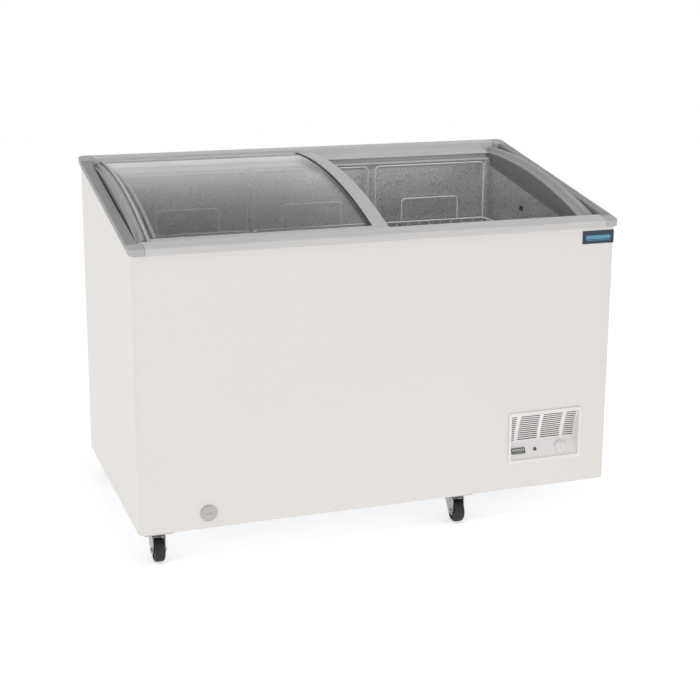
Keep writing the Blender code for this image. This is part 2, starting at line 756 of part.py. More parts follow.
def build_grille():
    """Louvred intake and control strip in one moulding, flanged over the shell."""
    (x0, x1), (z0, z1) = GRILLE_X, GRILLE_Z
    face = -SHELL_Y - GAP
    flange = box((x0, face - 0.0028, z0), (x1, face, z1))
    panel = place("grille_panel", flange, "white_plastic")
    inset = GRILLE_FLANGE
    boolean(panel, box((x0 + inset, face - 0.001, z0 + inset), (x1 - inset, -0.314, z1 - inset)), "UNION")
    front = louvre_face() + [GRILLE_FOOT, (-0.37, GRILLE_FOOT[1]), (-0.37, GRILLE_HEAD[1])]
    boolean(panel, prism(front, "X", x0 + 0.007, x1 - 0.007))
    skin = 0.0025
    back = [(y + skin, z) for y, z in louvre_face()]
    back += [(GRILLE_FOOT[0] + skin, GRILLE_FOOT[1]), (-0.30, GRILLE_FOOT[1]), (-0.30, GRILLE_HEAD[1])]
    boolean(panel, prism(back, "X", x0 + 0.0065, x1 - 0.0065))
    columns = ((0.350, 0.366), (0.376, 0.432), (0.441, 0.497), (0.507, 0.537))
    top, bottom = GRILLE_HEAD[1] - 0.003, GRILLE_CREASE[1] + 0.004
    pitch = (top - bottom) / LOUVRES
    slots = []
    for i in range(LOUVRES):
        z = bottom + pitch * (i + 0.5)
        for left, right in columns:
            slots.append(box((left, -0.36, z - 0.0014), (right, -0.30, z + 0.0014)))
    boolean(panel, join(*slots))
    return panel


def build_controls():
    """Knob, display and lamp stand on the sloping control strip under the louvres."""
    (cy, cz), (fy, fz) = GRILLE_CREASE, GRILLE_FOOT
    tilt = -math.atan2(cy - fy, cz - fz)
    strip = pivot("control_strip", (0, (cy + fy) / 2, (cz + fz) / 2), tilt=tilt)
    axis = pivot("thermostat_axis", (0.496, 0, 0), strip)
    disc = cylinder(0.0145, (0, -0.0004, 0), (0, -0.0100, 0), 28, 0.0135)
    knob = place("thermostat_knob", disc, "white_plastic", axis)
    for x0, x1 in ((-0.020, -0.0025), (0.0025, 0.020)):
        boolean(knob, box((x0, -0.02, -0.020), (x1, -0.0070, 0.020)))
    place("thermometer_display", box((0.354, -0.0022, -0.008), (0.394, -0.0004, 0.008)), "display", strip)
    lamp = cylinder(0.006, (0.4225, -0.0004, 0), (0.4225, -0.0034, 0), 16, 0.0045)
    place("indicator_lamp", lamp, "lamp_red", strip)


def build_drain_plug():
    pull = pivot("drain_plug_pull", (DRAIN_X, -SHELL_Y, DRAIN_Z))
    disc = cylinder(DRAIN_DISC_R, (0, -GAP, 0), (0, -0.0045, 0), 28, DRAIN_DISC_R - 0.002)
    plug = place("drain_plug", disc, "plug_grey", pull)
    boolean(plug, cylinder(DRAIN_STUB_R, (0, -0.002, 0), (0, 0.020, 0), 20), "UNION")


def build_badge():
    """A plain plate; it carries no name."""
    y = -SHELL_Y - GAP
    plate = place("badge_plate", box((0.531, y - 0.0015, 0.715), (0.620, y, 0.7485)), "badge_navy")
    bevel(plate, 0.0006, 1)


# ---------------------------------------------------------------- machine compartment


def build_compressor():
    """Hermetic compressor on a foot plate, with its relay box clipped to the side."""
    foot = BASE_Z + SHEET + GAP
    y = 0.130
    plate = box((COMP_X - 0.08, y - 0.075, foot), (COMP_X + 0.08, y + 0.075, foot + 0.006))
    body = place("compressor", plate, "black_paint")
    pot = [(0.0, 0.170), (0.035, 0.166), (0.060, 0.150), (0.070, 0.120)]
    pot += [(0.072, 0.050), (0.060, 0.020), (0.0, 0.004)]
    bm = bmesh.new()
    verts = [bm.verts.new((r, 0, z)) for r, z in pot]
    edges = [bm.edges.new(pair) for pair in zip(verts, verts[1:])]
    bmesh.ops.spin(bm, geom=verts + edges, cent=(0, 0, 0), axis=(0, 0, 1), angle=math.tau, steps=24)
    bmesh.ops.remove_doubles(bm, verts=bm.verts, dist=0.00001)
    bmesh.ops.translate(bm, vec=(COMP_X, y, foot), verts=bm.verts)
    boolean(body, bm, "UNION")
    low = (COMP_X - 0.115, y - 0.025, foot + 0.060)
    high = (COMP_X - 0.074, y + 0.025, foot + 0.125)
    bevel(place("relay_box", box(low, high), "black_plastic"), 0.003, 1)


def build_condenser():
    """Serpentine tube across the compartment, behind the front grille."""
    x0, x1, y = 0.350, 0.560, -0.262
    low, rows, pitch = 0.112, 8, 0.030
    r = pitch / 2
    points = [(x0, y, low)]
    for row in range(rows):
        z = low + pitch * row
        rightward = row % 2 == 0
        end, sign = (x1, 1) if rightward else (x0, -1)
        if row == rows - 1:
            points.append((end, y, z))
            break
        for i in range(5):
            a = math.radians(-90 + 45 * i)
            points.append((end + sign * r * math.cos(a), y, z + r + r * math.sin(a)))
    wire("condenser_coil", points, 0.0035, "black_paint")


def build_fan():
    """Motor on a bracket from the base, and the fan that turns on it, facing the condenser."""
    x, z = 0.455, 0.215
    can = cylinder(0.028, (x, FAN_Y + 0.022, z), (x, FAN_Y + 0.070, z), 20)
    motor = place("fan_motor", can, "black_paint")
    foot = BASE_Z + SHEET + GAP
    boolean(motor, box((x - 0.015, FAN_Y + 0.040, foot), (x + 0.015, FAN_Y + 0.044, z)), "UNION")
    boolean(motor, box((x - 0.030, FAN_Y + 0.030, foot), (x + 0.030, FAN_Y + 0.060, foot + 0.003)), "UNION")
    axis = pivot("fan_axis", (x, FAN_Y, z))
    fan = place("fan_blade", cylinder(0.017, (0, -0.010, 0), (0, 0.018, 0), 20), "black_plastic", axis)
    for i in range(4):
        blade = box((-0.019, -0.0010, 0.012), (0.019, 0.0010, 0.075))
        turn = Matrix.Rotation(math.radians(90 * i), 4, "Y") @ Matrix.Rotation(math.radians(28), 4, "Z")
        bmesh.ops.transform(blade, matrix=turn, verts=blade.verts)
        boolean(fan, blade, "UNION")


def build_gland():
    """Bush in the rear panel where the mains cord would come out."""
    x, z = GLAND
    y0, y1 = SHELL_Y - 0.010, SHELL_Y - 0.0004
    gland = place("cord_gland", cylinder(0.0100, (x, y0, z), (x, y1, z), 20), "black_plastic")
    boolean(gland, cylinder(0.0045, (x, y0 - 0.01, z), (x, y1 + 0.01, z), 16))


# ---------------------------------------------------------------- whole


def main():
    clear_scene()
    build_cabinet_wrap()
    build_rear_panel()
    build_rear_vent()
    build_base_panel()
    build_foam()
    build_liner()
    build_evaporator()
    top = pivot("rim_line", (0, 0, RIM_MID_Z))
    build_rims(top)
    build_corner_caps(top)
    front_edge, rear_edge = ARC_Y - LEDGE_EDGE, ARC_Y + LEDGE_EDGE
    front_deep = DEPTH / 2 - CAP_SIZE + front_edge - GAP
    build_lid_rail("front_lid_rail", front_edge, 1, front_deep, top)
    build_lid_rail("rear_lid_rail", rear_edge, -1, REAR_RIM_IN - rear_edge - GAP, top)
    build_end_arch("left_end_arch", -1, top)
    build_end_arch("right_end_arch", 1, top)
    upper = (("end_stile", 0.006, 0.0055), ("grip_stile", GRIP_STILE, 0.006))
    lower = (("end_stile", 0.010, 0.0055), ("grip_stile", GRIP_STILE, 0.006))
    build_lid("left", UPPER_LID_X, UPPER_R, UPPER_HALF, TRACK_UP + GAP, FRONT_STRIP, upper)
    build_lid("right", LOWER_LID_X, LOWER_R, LOWER_HALF, TRACK_LOW + GAP, RUNNER_TIP, lower)
    for side in BASKET_XS:
        build_basket(side)
    for end in ("front", "rear"):
        for side in CASTOR_XS:
            build_castor(end, side)
    build_grille()
    build_controls()
    build_drain_plug()
    build_badge()
    build_compressor()
    build_condenser()
    build_fan()
    build_gland()


main()
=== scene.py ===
"""Looks of the display chest freezer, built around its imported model.

Metres, +Z up, +X right as seen from the front, +Y to the rear. The top of the cabinet leans back: what is
modelled level there, with heights counted from the rim line, is then raised by SLOPE times its Y.
"""

import math

import bmesh
import bpy
from mathutils import Matrix, Vector


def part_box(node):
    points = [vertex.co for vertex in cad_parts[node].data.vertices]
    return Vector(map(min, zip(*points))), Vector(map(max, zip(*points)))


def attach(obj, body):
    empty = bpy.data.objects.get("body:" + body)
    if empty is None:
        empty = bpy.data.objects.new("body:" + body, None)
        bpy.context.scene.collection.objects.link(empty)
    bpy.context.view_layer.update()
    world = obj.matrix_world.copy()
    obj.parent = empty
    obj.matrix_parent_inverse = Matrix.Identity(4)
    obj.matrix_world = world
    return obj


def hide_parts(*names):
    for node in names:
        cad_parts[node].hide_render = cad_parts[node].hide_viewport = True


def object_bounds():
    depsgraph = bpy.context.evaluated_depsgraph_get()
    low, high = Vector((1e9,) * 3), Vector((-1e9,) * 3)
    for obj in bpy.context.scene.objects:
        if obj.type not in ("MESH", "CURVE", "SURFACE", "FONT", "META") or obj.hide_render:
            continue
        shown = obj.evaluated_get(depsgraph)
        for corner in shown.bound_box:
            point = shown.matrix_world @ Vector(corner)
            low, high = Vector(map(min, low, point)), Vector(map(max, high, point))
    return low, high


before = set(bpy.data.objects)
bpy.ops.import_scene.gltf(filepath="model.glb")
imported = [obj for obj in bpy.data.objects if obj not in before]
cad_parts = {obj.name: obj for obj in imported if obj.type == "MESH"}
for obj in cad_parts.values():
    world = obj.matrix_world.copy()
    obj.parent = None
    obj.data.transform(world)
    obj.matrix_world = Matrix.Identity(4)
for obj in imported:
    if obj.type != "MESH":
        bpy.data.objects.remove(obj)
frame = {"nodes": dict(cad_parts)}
cad_low, cad_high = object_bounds()
nodes = frame["nodes"]

# Places that follow the frame
SLOPE = 0.132 / 0.695
RIM_MID_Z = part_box("rear_rim")[1].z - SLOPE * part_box("rear_rim")[1].y
SHELL_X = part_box("cabinet_wrap")[1].x
SHELL_Y = -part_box("cabinet_wrap")[0].y
BASE_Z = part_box("cabinet_wrap")[0].z
HALF_X, HALF_Y = cad_high.x, cad_high.y
GAP = 0.0003

# Lid arcs, as in the frame
ARC_Y = 0.008
CROWN = 0.025
GLASS = 0.004
UPPER_R = 1.450
LOWER_R = UPPER_R - 0.0145
ARC_N = CROWN - UPPER_R - GLASS
UPPER_HALF = 0.309
LOWER_HALF = 0.262
ARC_STEPS = 96
LEDGE_EDGE = 0.310
TRACK_STEP = 0.032
ARCH_X = 0.600
RAIL_X = 0.6055
RIDGE_X = 0.5775
TRACK_UP = -0.0165
TRACK_LOW = -0.0315
FRAME_BOTTOM = -0.0345
LINER_X, LINER_Y = 0.560, 0.275
LINER_TOP = -0.0352
HUMP_X, HUMP_Z = 0.270, 0.400


# ---------------------------------------------------------------- mesh helpers


def new_object(name, mesh):
    obj = bpy.data.objects.new(name, mesh)
    bpy.context.scene.collection.objects.link(obj)
    return obj


def mesh_object(name, bm, smooth=35.0):
    bmesh.ops.recalc_face_normals(bm, faces=bm.faces)
    mesh = bpy.data.meshes.new(name)
    bm.to_mesh(mesh)
    bm.free()
    mesh.shade_smooth()
    mesh.set_sharp_from_angle(angle=math.radians(smooth))
    return new_object(name, mesh)


def box(low, high):
    low, high = Vector(low), Vector(high)
    bm = bmesh.new()
    bmesh.ops.create_cube(bm, size=1.0)
    bmesh.ops.scale(bm, vec=high - low, verts=bm.verts)
    bmesh.ops.translate(bm, vec=(low + high) / 2, verts=bm.verts)
    return bm


def cylinder(radius, start, end, segments=48):
    start, end = Vector(start), Vector(end)
    along = end - start
    bm = bmesh.new()
    bmesh.ops.create_cone(
        bm, cap_ends=True, segments=segments, radius1=radius, radius2=radius, depth=along.length
    )
    turn = Vector((0, 0, 1)).rotation_difference(along.normalized()).to_matrix().to_4x4()
    bmesh.ops.transform(bm, matrix=Matrix.Translation((start + end) / 2) @ turn, verts=bm.verts)
    return bm


def lathe(profile, centre, axis, segments=48):
    """A turned shape: (radius, height) points about an axis through a point."""
    bm = bmesh.new()
    verts = [bm.verts.new((r, 0, h)) for r, h in profile]
    edges = [bm.edges.new(pair) for pair in zip(verts, verts[1:])]
    bmesh.ops.spin(bm, geom=verts + edges, cent=(0, 0, 0), axis=(0, 0, 1), angle=math.tau, steps=segments)
    bmesh.ops.remove_doubles(bm, verts=bm.verts, dist=0.00001)
    turn = Vector((0, 0, 1)).rotation_difference(Vector(axis).normalized()).to_matrix().to_4x4()
    bmesh.ops.transform(bm, matrix=Matrix.Translation(Vector(centre)) @ turn, verts=bm.verts)
    return bm


def prism(outline, axis, low, high):
    spot = {
        "X": lambda a, b: (low, a, b),
        "Y": lambda a, b: (a, low, b),
        "Z": lambda a, b: (a, b, low),
    }[axis]
    way = {"X": Vector((1, 0, 0)), "Y": Vector((0, 1, 0)), "Z": Vector((0, 0, 1))}[axis]
    bm = bmesh.new()
    face = bm.faces.new([bm.verts.new(spot(a, b)) for a, b in outline])
    grown = bmesh.ops.extrude_face_region(bm, geom=[face])
    moved = [v for v in grown["geom"] if isinstance(v, bmesh.types.BMVert)]
    bmesh.ops.translate(bm, vec=way * (high - low), verts=moved)
    return bm


def join(*parts):
    whole = bmesh.new()
    for part in parts:
        mesh = bpy.data.meshes.new("piece")
        part.to_mesh(mesh)
        part.free()
        whole.from_mesh(mesh)
        bpy.data.meshes.remove(mesh)
    return whole


def fillet(outline, radius, steps=3):
    """Rounds every corner of a flat outline."""
    rounded = []
    count = len(outline)
    for i in range(count):
        here = Vector(outline[i])
        before = Vector(outline[i - 1]) - here
        after = Vector(outline[(i + 1) % count]) - here
        reach = min(radius, before.length * 0.45, after.length * 0.45)
        a, b = here + before.normalized() * reach, here + after.normalized() * reach
        for step in range(steps + 1):
            t = step / steps
            rounded.append(tuple(a * (1 - t) ** 2 + here * 2 * t * (1 - t) + b * t**2))
    return rounded


def round_corner(cx, cy, radius, start_deg, steps=8):
    angles = [math.radians(start_deg + 90 * i / steps) for i in range(steps + 1)]
    return [(cx + radius * math.cos(a), cy + radius * math.sin(a)) for a in angles]


def rounded_rect(x0, y0, x1, y1, radius, steps=8):
    return (
        round_corner(x1 - radius, y1 - radius, radius, 0, steps)
        + round_corner(x0 + radius, y1 - radius, radius, 90, steps)
        + round_corner(x0 + radius, y0 + radius, radius, 180, steps)
        + round_corner(x1 - radius, y0 + radius, radius, 270, steps)
    )


def lean(bm, above=None):
    for v in bm.verts:
        if above is None or v.co.z > above:
            v.co.z += SLOPE * v.co.y
    return bm


def raise_to_rim(bm):
    """From heights counted from the rim line to world heights."""
    bmesh.ops.translate(bm, vec=(0, 0, RIM_MID_Z), verts=bm.verts)
    return bm


def on_top(bm):
    return raise_to_rim(lean(bm))


def arc_n(radius, across):
    return math.sqrt(radius**2 - across**2) + ARC_N


def arc_sweep(section, front, rear, radius, steps=ARC_STEPS):
    """A section of (x, radius) points swept along the lids' arc between two reaches, then leaned."""
    angle, rest = math.asin(front / radius), math.asin(rear / radius)
    bm = bmesh.new()
    start = [(x, ARC_Y - r * math.sin(angle), ARC_N + r * math.cos(angle)) for x, r in section]
    face = bm.faces.new([bm.verts.new(p) for p in start])
    turn = angle + rest
    bmesh.ops.spin(bm, geom=[face], cent=(0, ARC_Y, ARC_N), axis=(-1, 0, 0), angle=turn, steps=steps)
    return lean(bm)


def boolean(obj, bm, operation="DIFFERENCE"):
    """Applies one cut or join to an object's mesh."""
    bmesh.ops.recalc_face_normals(bm, faces=bm.faces)
    mesh = bpy.data.meshes.new("tool")
    bm.to_mesh(mesh)
    bm.free()
    tool = new_object("tool", mesh)
    mod = obj.modifiers.new("boolean", "BOOLEAN")
    mod.operation = operation
    mod.solver = "EXACT"
    mod.object = tool
    apply_modifiers(obj)
    bpy.data.objects.remove(tool)
    return obj


def apply_modifiers(obj):
    bpy.context.view_layer.update()
    graph = bpy.context.evaluated_depsgraph_get()
    mesh = bpy.data.meshes.new_from_object(obj.evaluated_get(graph))
    obj.modifiers.clear()
    obj.data = mesh
    return obj


def bevel(obj, width, segments=3, angle=40):
    """Rounds the hard edges, and keeps the flats flat in the shading."""
    mod = obj.modifiers.new("edges", "BEVEL")
    mod.width = width
    mod.segments = segments
    mod.limit_method = "ANGLE"
    mod.angle_limit = math.radians(angle)
    mod.harden_normals = False
    weighted = obj.modifiers.new("normals", "WEIGHTED_NORMAL")
    weighted.keep_sharp = True
    return obj


def wires(name, runs, resolution=3):
    """Round wires in one mesh: each run is (points, radius, closed)."""
    parts = []
    for points, radius, closed in runs:
        curve = bpy.data.curves.new("wire", "CURVE")
        curve.dimensions = "3D"
        curve.bevel_depth = radius
        curve.bevel_resolution = resolution
        curve.use_fill_caps = True
        spline = curve.splines.new("POLY")
        spline.points.add(len(points) - 1)
        for point, spot in zip(spline.points, points):
            point.co = (*spot, 1.0)
        spline.use_cyclic_u = closed
        guide = new_object("wire", curve)
        bpy.context.view_layer.update()
        graph = bpy.context.evaluated_depsgraph_get()
        mesh = bpy.data.meshes.new_from_object(guide.evaluated_get(graph))
        bm = bmesh.new()
        bm.from_mesh(mesh)
        bmesh.ops.remove_doubles(bm, verts=bm.verts, dist=0.000001)
        parts.append(bm)
        bpy.data.objects.remove(guide)
        bpy.data.meshes.remove(mesh)
    return mesh_object(name, join(*parts), smooth=60)


def finished(obj, mat, body, slot, *replaced):
    """Gives a piece its material, the body it rides on and the nodes it stands for."""
    obj.data.materials.clear()
    obj.data.materials.append(mat)
    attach(obj, body)
    if replaced:
        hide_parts(*replaced)
    return obj


# ---------------------------------------------------------------- materials


class Shader:
    """A Principled material with helpers for object-space patterns."""

    def __init__(self, name, colour, roughness, metallic=0.0, **sockets):
        self.mat = bpy.data.materials.new(name)
        self.mat.use_nodes = True
        self.nodes = self.mat.node_tree.nodes
        self.links = self.mat.node_tree.links
        self.main = self.nodes["Principled BSDF"]
        self.main.inputs["Base Color"].default_value = (*colour, 1.0)
        self.main.inputs["Roughness"].default_value = roughness
        self.main.inputs["Metallic"].default_value = metallic
        for key, value in sockets.items():
            self.main.inputs[key.replace("_", " ")].default_value = value
        self.space = self.nodes.new("ShaderNodeTexCoord").outputs["Object"]

    def stretched(self, scale):
        mapping = self.nodes.new("ShaderNodeMapping")
        mapping.inputs["Scale"].default_value = scale
        self.links.new(self.space, mapping.inputs["Vector"])
        return mapping.outputs["Vector"]

    def noise(self, scale, detail=3.0, stretch=(1, 1, 1), rough=0.5):
        node = self.nodes.new("ShaderNodeTexNoise")
        node.inputs["Scale"].default_value = scale
        node.inputs["Detail"].default_value = detail
        node.inputs["Roughness"].default_value = rough
        self.links.new(self.stretched(stretch), node.inputs["Vector"])
        return node.outputs["Fac"]

    def cells(self, scale, stretch=(1, 1, 1)):
        node = self.nodes.new("ShaderNodeTexVoronoi")
        node.feature = "SMOOTH_F1"
        node.inputs["Scale"].default_value = scale
        self.links.new(self.stretched(stretch), node.inputs["Vector"])
        return node.outputs["Distance"]

    def ramp(self, source, low, high, start=0.3, stop=0.7):
        node = self.nodes.new("ShaderNodeMapRange")
        node.inputs["From Min"].default_value = start
        node.inputs["From Max"].default_value = stop
        node.inputs["To Min"].default_value = low
        node.inputs["To Max"].default_value = high
        self.links.new(source, node.inputs["Value"])
        return node.outputs["Result"]

    def blend(self, source, first, second, start=0.3, stop=0.7):
        mix = self.nodes.new("ShaderNodeMix")
        mix.data_type = "RGBA"
        mix.inputs[6].default_value = (*first, 1.0)
        mix.inputs[7].default_value = (*second, 1.0)
        self.links.new(self.ramp(source, 0.0, 1.0, start, stop), mix.inputs["Factor"])
        return mix.outputs[2]

    def colour(self, source, first, second, start=0.3, stop=0.7):
        self.links.new(self.blend(source, first, second, start, stop), self.main.inputs["Base Color"])
        return self

    def roughness(self, source, low, high):
        self.links.new(self.ramp(source, low, high), self.main.inputs["Roughness"])
        return self

    def bump(self, source, distance, strength=1.0):
        node = self.nodes.new("ShaderNodeBump")
        node.inputs["Distance"].default_value = distance
        node.inputs["Strength"].default_value = strength
        self.links.new(source, node.inputs["Height"])
        self.links.new(node.outputs["Normal"], self.main.inputs["Normal"])
        return self


def shade(base, factor):
    return tuple(c * factor for c in base)


def coated_sheet():
    base = (0.735, 0.707, 0.680)
    made = Shader("white_coating", base, 0.32, Specular_IOR_Level=0.5)
    made.colour(made.noise(1.6, 2.0), shade(base, 0.985), shade(base, 1.01), 0.2, 0.8)
    made.roughness(made.noise(60.0, 2.0), 0.31, 0.33)
    return made.mat


def extrusion(name, base, along):
    """Satin plastic extrusion with faint die lines along its length."""
    made = Shader(name, base, 0.42)
    squeeze = [60.0, 60.0, 60.0]
    squeeze["XYZ".index(along)] = 0.6
    lines = made.noise(8.0, 4.0, stretch=tuple(squeeze))
    made.colour(lines, shade(base, 0.93), shade(base, 1.05))
    made.roughness(made.noise(14.0), 0.34, 0.50)
    made.bump(lines, 0.00006, 0.6)
    return made.mat


def moulded(name, base, rough=0.45, grain=900.0):
    made = Shader(name, base, rough)
    made.colour(made.noise(5.0), shade(base, 0.95), shade(base, 1.03))
    made.roughness(made.noise(30.0), rough - 0.05, rough + 0.07)
    made.bump(made.noise(grain, 2.0), 0.00005, 0.5)
    return made.mat


def stucco_metal():
    """Embossed aluminium sheet, hammered in small pebbles."""
    base = (0.68, 0.68, 0.685)
    made = Shader("stucco_metal", base, 0.30, 0.85)
    pebbles = made.cells(300.0)
    dents = made.noise(260.0, 2.0)
    add = made.nodes.new("ShaderNodeMath")
    add.operation = "ADD"
    made.links.new(pebbles, add.inputs[0])
    made.links.new(dents, add.inputs[1])
    made.colour(made.noise(240.0, 3.0), shade(base, 0.82), shade(base, 1.22), 0.38, 0.62)
    made.roughness(made.noise(90.0), 0.24, 0.42)
    made.bump(add.outputs[0], 0.0005, 0.7)
    return made.mat


def galvanised():
    base = (0.52, 0.53, 0.545)
    made = Shader("galvanised", base, 0.38, 0.9)
    spangle = made.cells(95.0)
    made.colour(spangle, shade(base, 0.95), shade(base, 1.04), 0.05, 0.65)
    made.roughness(made.noise(45.0), 0.30, 0.46)
    made.bump(made.noise(300.0), 0.00004, 0.5)
    return made.mat


def plated(name, base, rough=0.3):
    made = Shader(name, base, rough, 0.9)
    made.colour(made.noise(120.0, 4.0), shade(base, 0.75), shade(base, 1.15))
    made.roughness(made.noise(160.0), rough - 0.06, rough + 0.12)
    made.bump(made.noise(700.0), 0.00003, 0.5)
    return made.mat


def lid_glass():
    made = Shader("lid_glass", (0.975, 0.98, 0.978), 0.02, Transmission_Weight=1.0, IOR=1.32)
    made.roughness(made.noise(3.0), 0.012, 0.03)
    return made.mat


def wire_coat():
    base = (0.80, 0.80, 0.79)
    made = Shader("wire_coat", base, 0.28, Coat_Weight=0.3)
    made.colour(made.noise(40.0), shade(base, 0.94), shade(base, 1.03))
    made.bump(made.noise(260.0, 2.0), 0.00008, 0.6)
    return made.mat


def rubber(name, base, rough=0.62):
    made = Shader(name, base, rough)
    made.colour(made.noise(70.0, 4.0), shade(base, 0.7), shade(base, 1.5))
    made.roughness(made.noise(90.0), rough - 0.1, rough + 0.12)
    made.bump(made.noise(500.0), 0.00008, 0.6)
    return made.mat


def foam_body():
    base = (0.78, 0.68, 0.44)
    made = Shader("rigid_foam", base, 0.9)
    made.colour(made.noise(60.0), shade(base, 0.85), shade(base, 1.06))
    made.bump(made.cells(400.0), 0.0006, 0.7)
    return made.mat


COATING = coated_sheet()
RIM_X = extrusion("rim_grey_long", (0.56, 0.552, 0.545), "X")
# side rims: the same grey extrusion as the front and rear rims, painted darker as shade for their weaker
# sheen
RIM_SIDE_SHADED = extrusion("rim_grey_side_painted_shade", (0.27, 0.268, 0.265), "Y")
RAIL = extrusion("rail_grey", (0.56, 0.553, 0.548), "X")
ARCH = extrusion("arch_grey", (0.37, 0.368, 0.365), "Y")
# the arch's inner web and the end breaker strips: rim grey darkened as painted shade, for the shadow
# inside the frame
WEB_SHADED = extrusion("web_grey_painted_shade", (0.20, 0.201, 0.198), "Y")
STILE = extrusion("stile_grey", (0.50, 0.498, 0.492), "Y")
CAP = moulded("corner_grey", (0.44, 0.435, 0.43), 0.48)
STUCCO = stucco_metal()
ZINC_SHEET = galvanised()
ZINC = plated("zinc_plate", (0.42, 0.41, 0.40))
GLASS_MAT = lid_glass()
WIRE = wire_coat()
WHITE = moulded("white_moulding", (0.775, 0.755, 0.745), 0.33, 700.0)
BLACK_RUBBER = rubber("wheel_rubber", (0.012, 0.013, 0.013))
SEAL = rubber("seal_rubber", (0.035, 0.036, 0.037), 0.55)
BLACK_PAINT = moulded("black_paint", (0.018, 0.018, 0.019), 0.3, 400.0)
BLACK_PLASTIC = moulded("black_plastic", (0.028, 0.028, 0.029), 0.45)
PLUG_GREY = moulded("plug_grey", (0.50, 0.48, 0.46), 0.5)
COPPER = plated("copper_tube", (0.72, 0.38, 0.24), 0.28)
FOAM = foam_body()
DISPLAY = moulded("display_window", (0.085, 0.085, 0.078), 0.16, 300.0)
MARK = moulded("pale_mark", (0.52, 0.52, 0.48), 0.3, 300.0)
LAMP = Shader("lamp_red", (0.20, 0.008, 0.02), 0.12, Transmission_Weight=0.35, Coat_Weight=0.6)
LAMP.colour(LAMP.noise(300.0), (0.14, 0.005, 0.012), (0.27, 0.012, 0.03))
NAVY = moulded("badge_navy", (0.018, 0.035, 0.055), 0.25, 500.0)
BADGE_BLUE = moulded("badge_blue", (0.09, 0.30, 0.45), 0.25, 500.0)
ETCH = moulded("dial_etch", (0.42, 0.42, 0.44), 0.4, 500.0)


# ---------------------------------------------------------------- cabinet


def make_wrap():
    """Front and sides bent from one coated sheet, with its two cut-outs."""
    sheet, r = 0.0015, 0.015
    steps = 12
    outer = (
        [(-SHELL_X, SHELL_Y)]
        + round_corner(-SHELL_X + r, -SHELL_Y + r, r, 180, steps)
        + round_corner(SHELL_X - r, -SHELL_Y + r, r, 270, steps)
        + [(SHELL_X, SHELL_Y)]
    )
    ix, iy, ir = SHELL_X - sheet, SHELL_Y - sheet, r - sheet
    inner = (
        [(-ix, SHELL_Y)]
        + round_corner(-ix + ir, -iy + ir, ir, 180, steps)
        + round_corner(ix - ir, -iy + ir, ir, 270, steps)
        + [(ix, SHELL_Y)]
    )
    top = RIM_MID_Z - 0.0178
    wrap = mesh_object("cabinet_sheet", lean(prism(outer + inner[::-1], "Z", BASE_Z, top), above=0.5))
    low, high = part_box("grille_panel")
    inset = 0.0035
    boolean(wrap, box((low.x + inset, -0.36, low.z + inset), (high.x - inset, -0.30, high.z - inset)))
    plug_low, plug_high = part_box("drain_plug")
    centre = (plug_low + plug_high) / 2
    boolean(wrap, cylinder(0.0128, (centre.x, -0.36, centre.z), (centre.x, -0.32, centre.z)))
    wrap.data.shade_smooth()
    wrap.data.set_sharp_from_angle(angle=math.radians(35))
    finished(wrap, COATING, "cabinet", "white_coating", "cabinet_wrap")


def make_liner():
    """Embossed tub with rounded corners and the step over the machine."""
    wall, r = 0.002, 0.022
    x, y = LINER_X + wall, LINER_Y + wall
    top = RIM_MID_Z + LINER_TOP
    outline = rounded_rect(-x, -y, x, y, r + wall)
    liner = mesh_object("liner_tub", lean(prism(outline, "Z", 0.148, top), above=0.5))
    boolean(liner, prism(rounded_rect(-LINER_X, -LINER_Y, LINER_X, LINER_Y, r), "Z", HUMP_Z, 1.1))
    boolean(liner, prism(rounded_rect(-LINER_X, -LINER_Y, HUMP_X, LINER_Y, r), "Z", 0.150, 0.5))
    boolean(liner, box((HUMP_X + wall, -0.4, 0.1), (0.7, 0.4, HUMP_Z - wall)))
    boolean(liner, box((0.55, 0.047, 0.7365), (0.57, 0.067, 0.7505)))
    liner.data.shade_smooth()
    liner.data.set_sharp_from_angle(angle=math.radians(35))
    finished(liner, STUCCO, "cabinet", "embossed_metal", "inner_liner")
    # flush black block filling the hole in the right wall: painted shade for the hole's depth
    hole_shade = mesh_object("liner_hole_shade", box((0.5590, 0.0475, 0.7370), (0.5618, 0.0665, 0.7500)))
    finished(bevel(hole_shade, 0.0006), BLACK_PLASTIC, "cabinet", "black_plastic")
    # smooth strip between the liner's top edge and the lid frame, along the rear wall and the ends; the
    # end strips are painted darker as shade, the rear one takes the rail grey
    strips = (
        ("rear", RAIL, -0.5585, 0.5585, LINER_Y - 0.0016, LINER_Y - 0.0003),
        ("left", WEB_SHADED, -LINER_X + 0.0003, -LINER_X + 0.0016, -0.262, 0.2730),
        ("right", WEB_SHADED, LINER_X - 0.0016, LINER_X - 0.0003, -0.262, 0.2730),
    )
    for name, mat, x0, x1, y0, y1 in strips:
        breaker = box((x0, y0, LINER_TOP - 0.014), (x1, y1, LINER_TOP - 0.0002))
        finished(mesh_object(f"breaker_strip_{name}", on_top(breaker)), mat, "cabinet", "rim_grey")


def channel(outer, inner, toward):
    lip = outer - toward * 0.006
    wall = inner + toward * 0.003
    return [
        (outer, -0.017),
        (outer, 0.0),
        (inner, 0.0),
        (inner, -0.030),
        (wall, -0.030),
        (wall, -0.004),
        (lip, -0.004),
        (lip, -0.017),
    ]


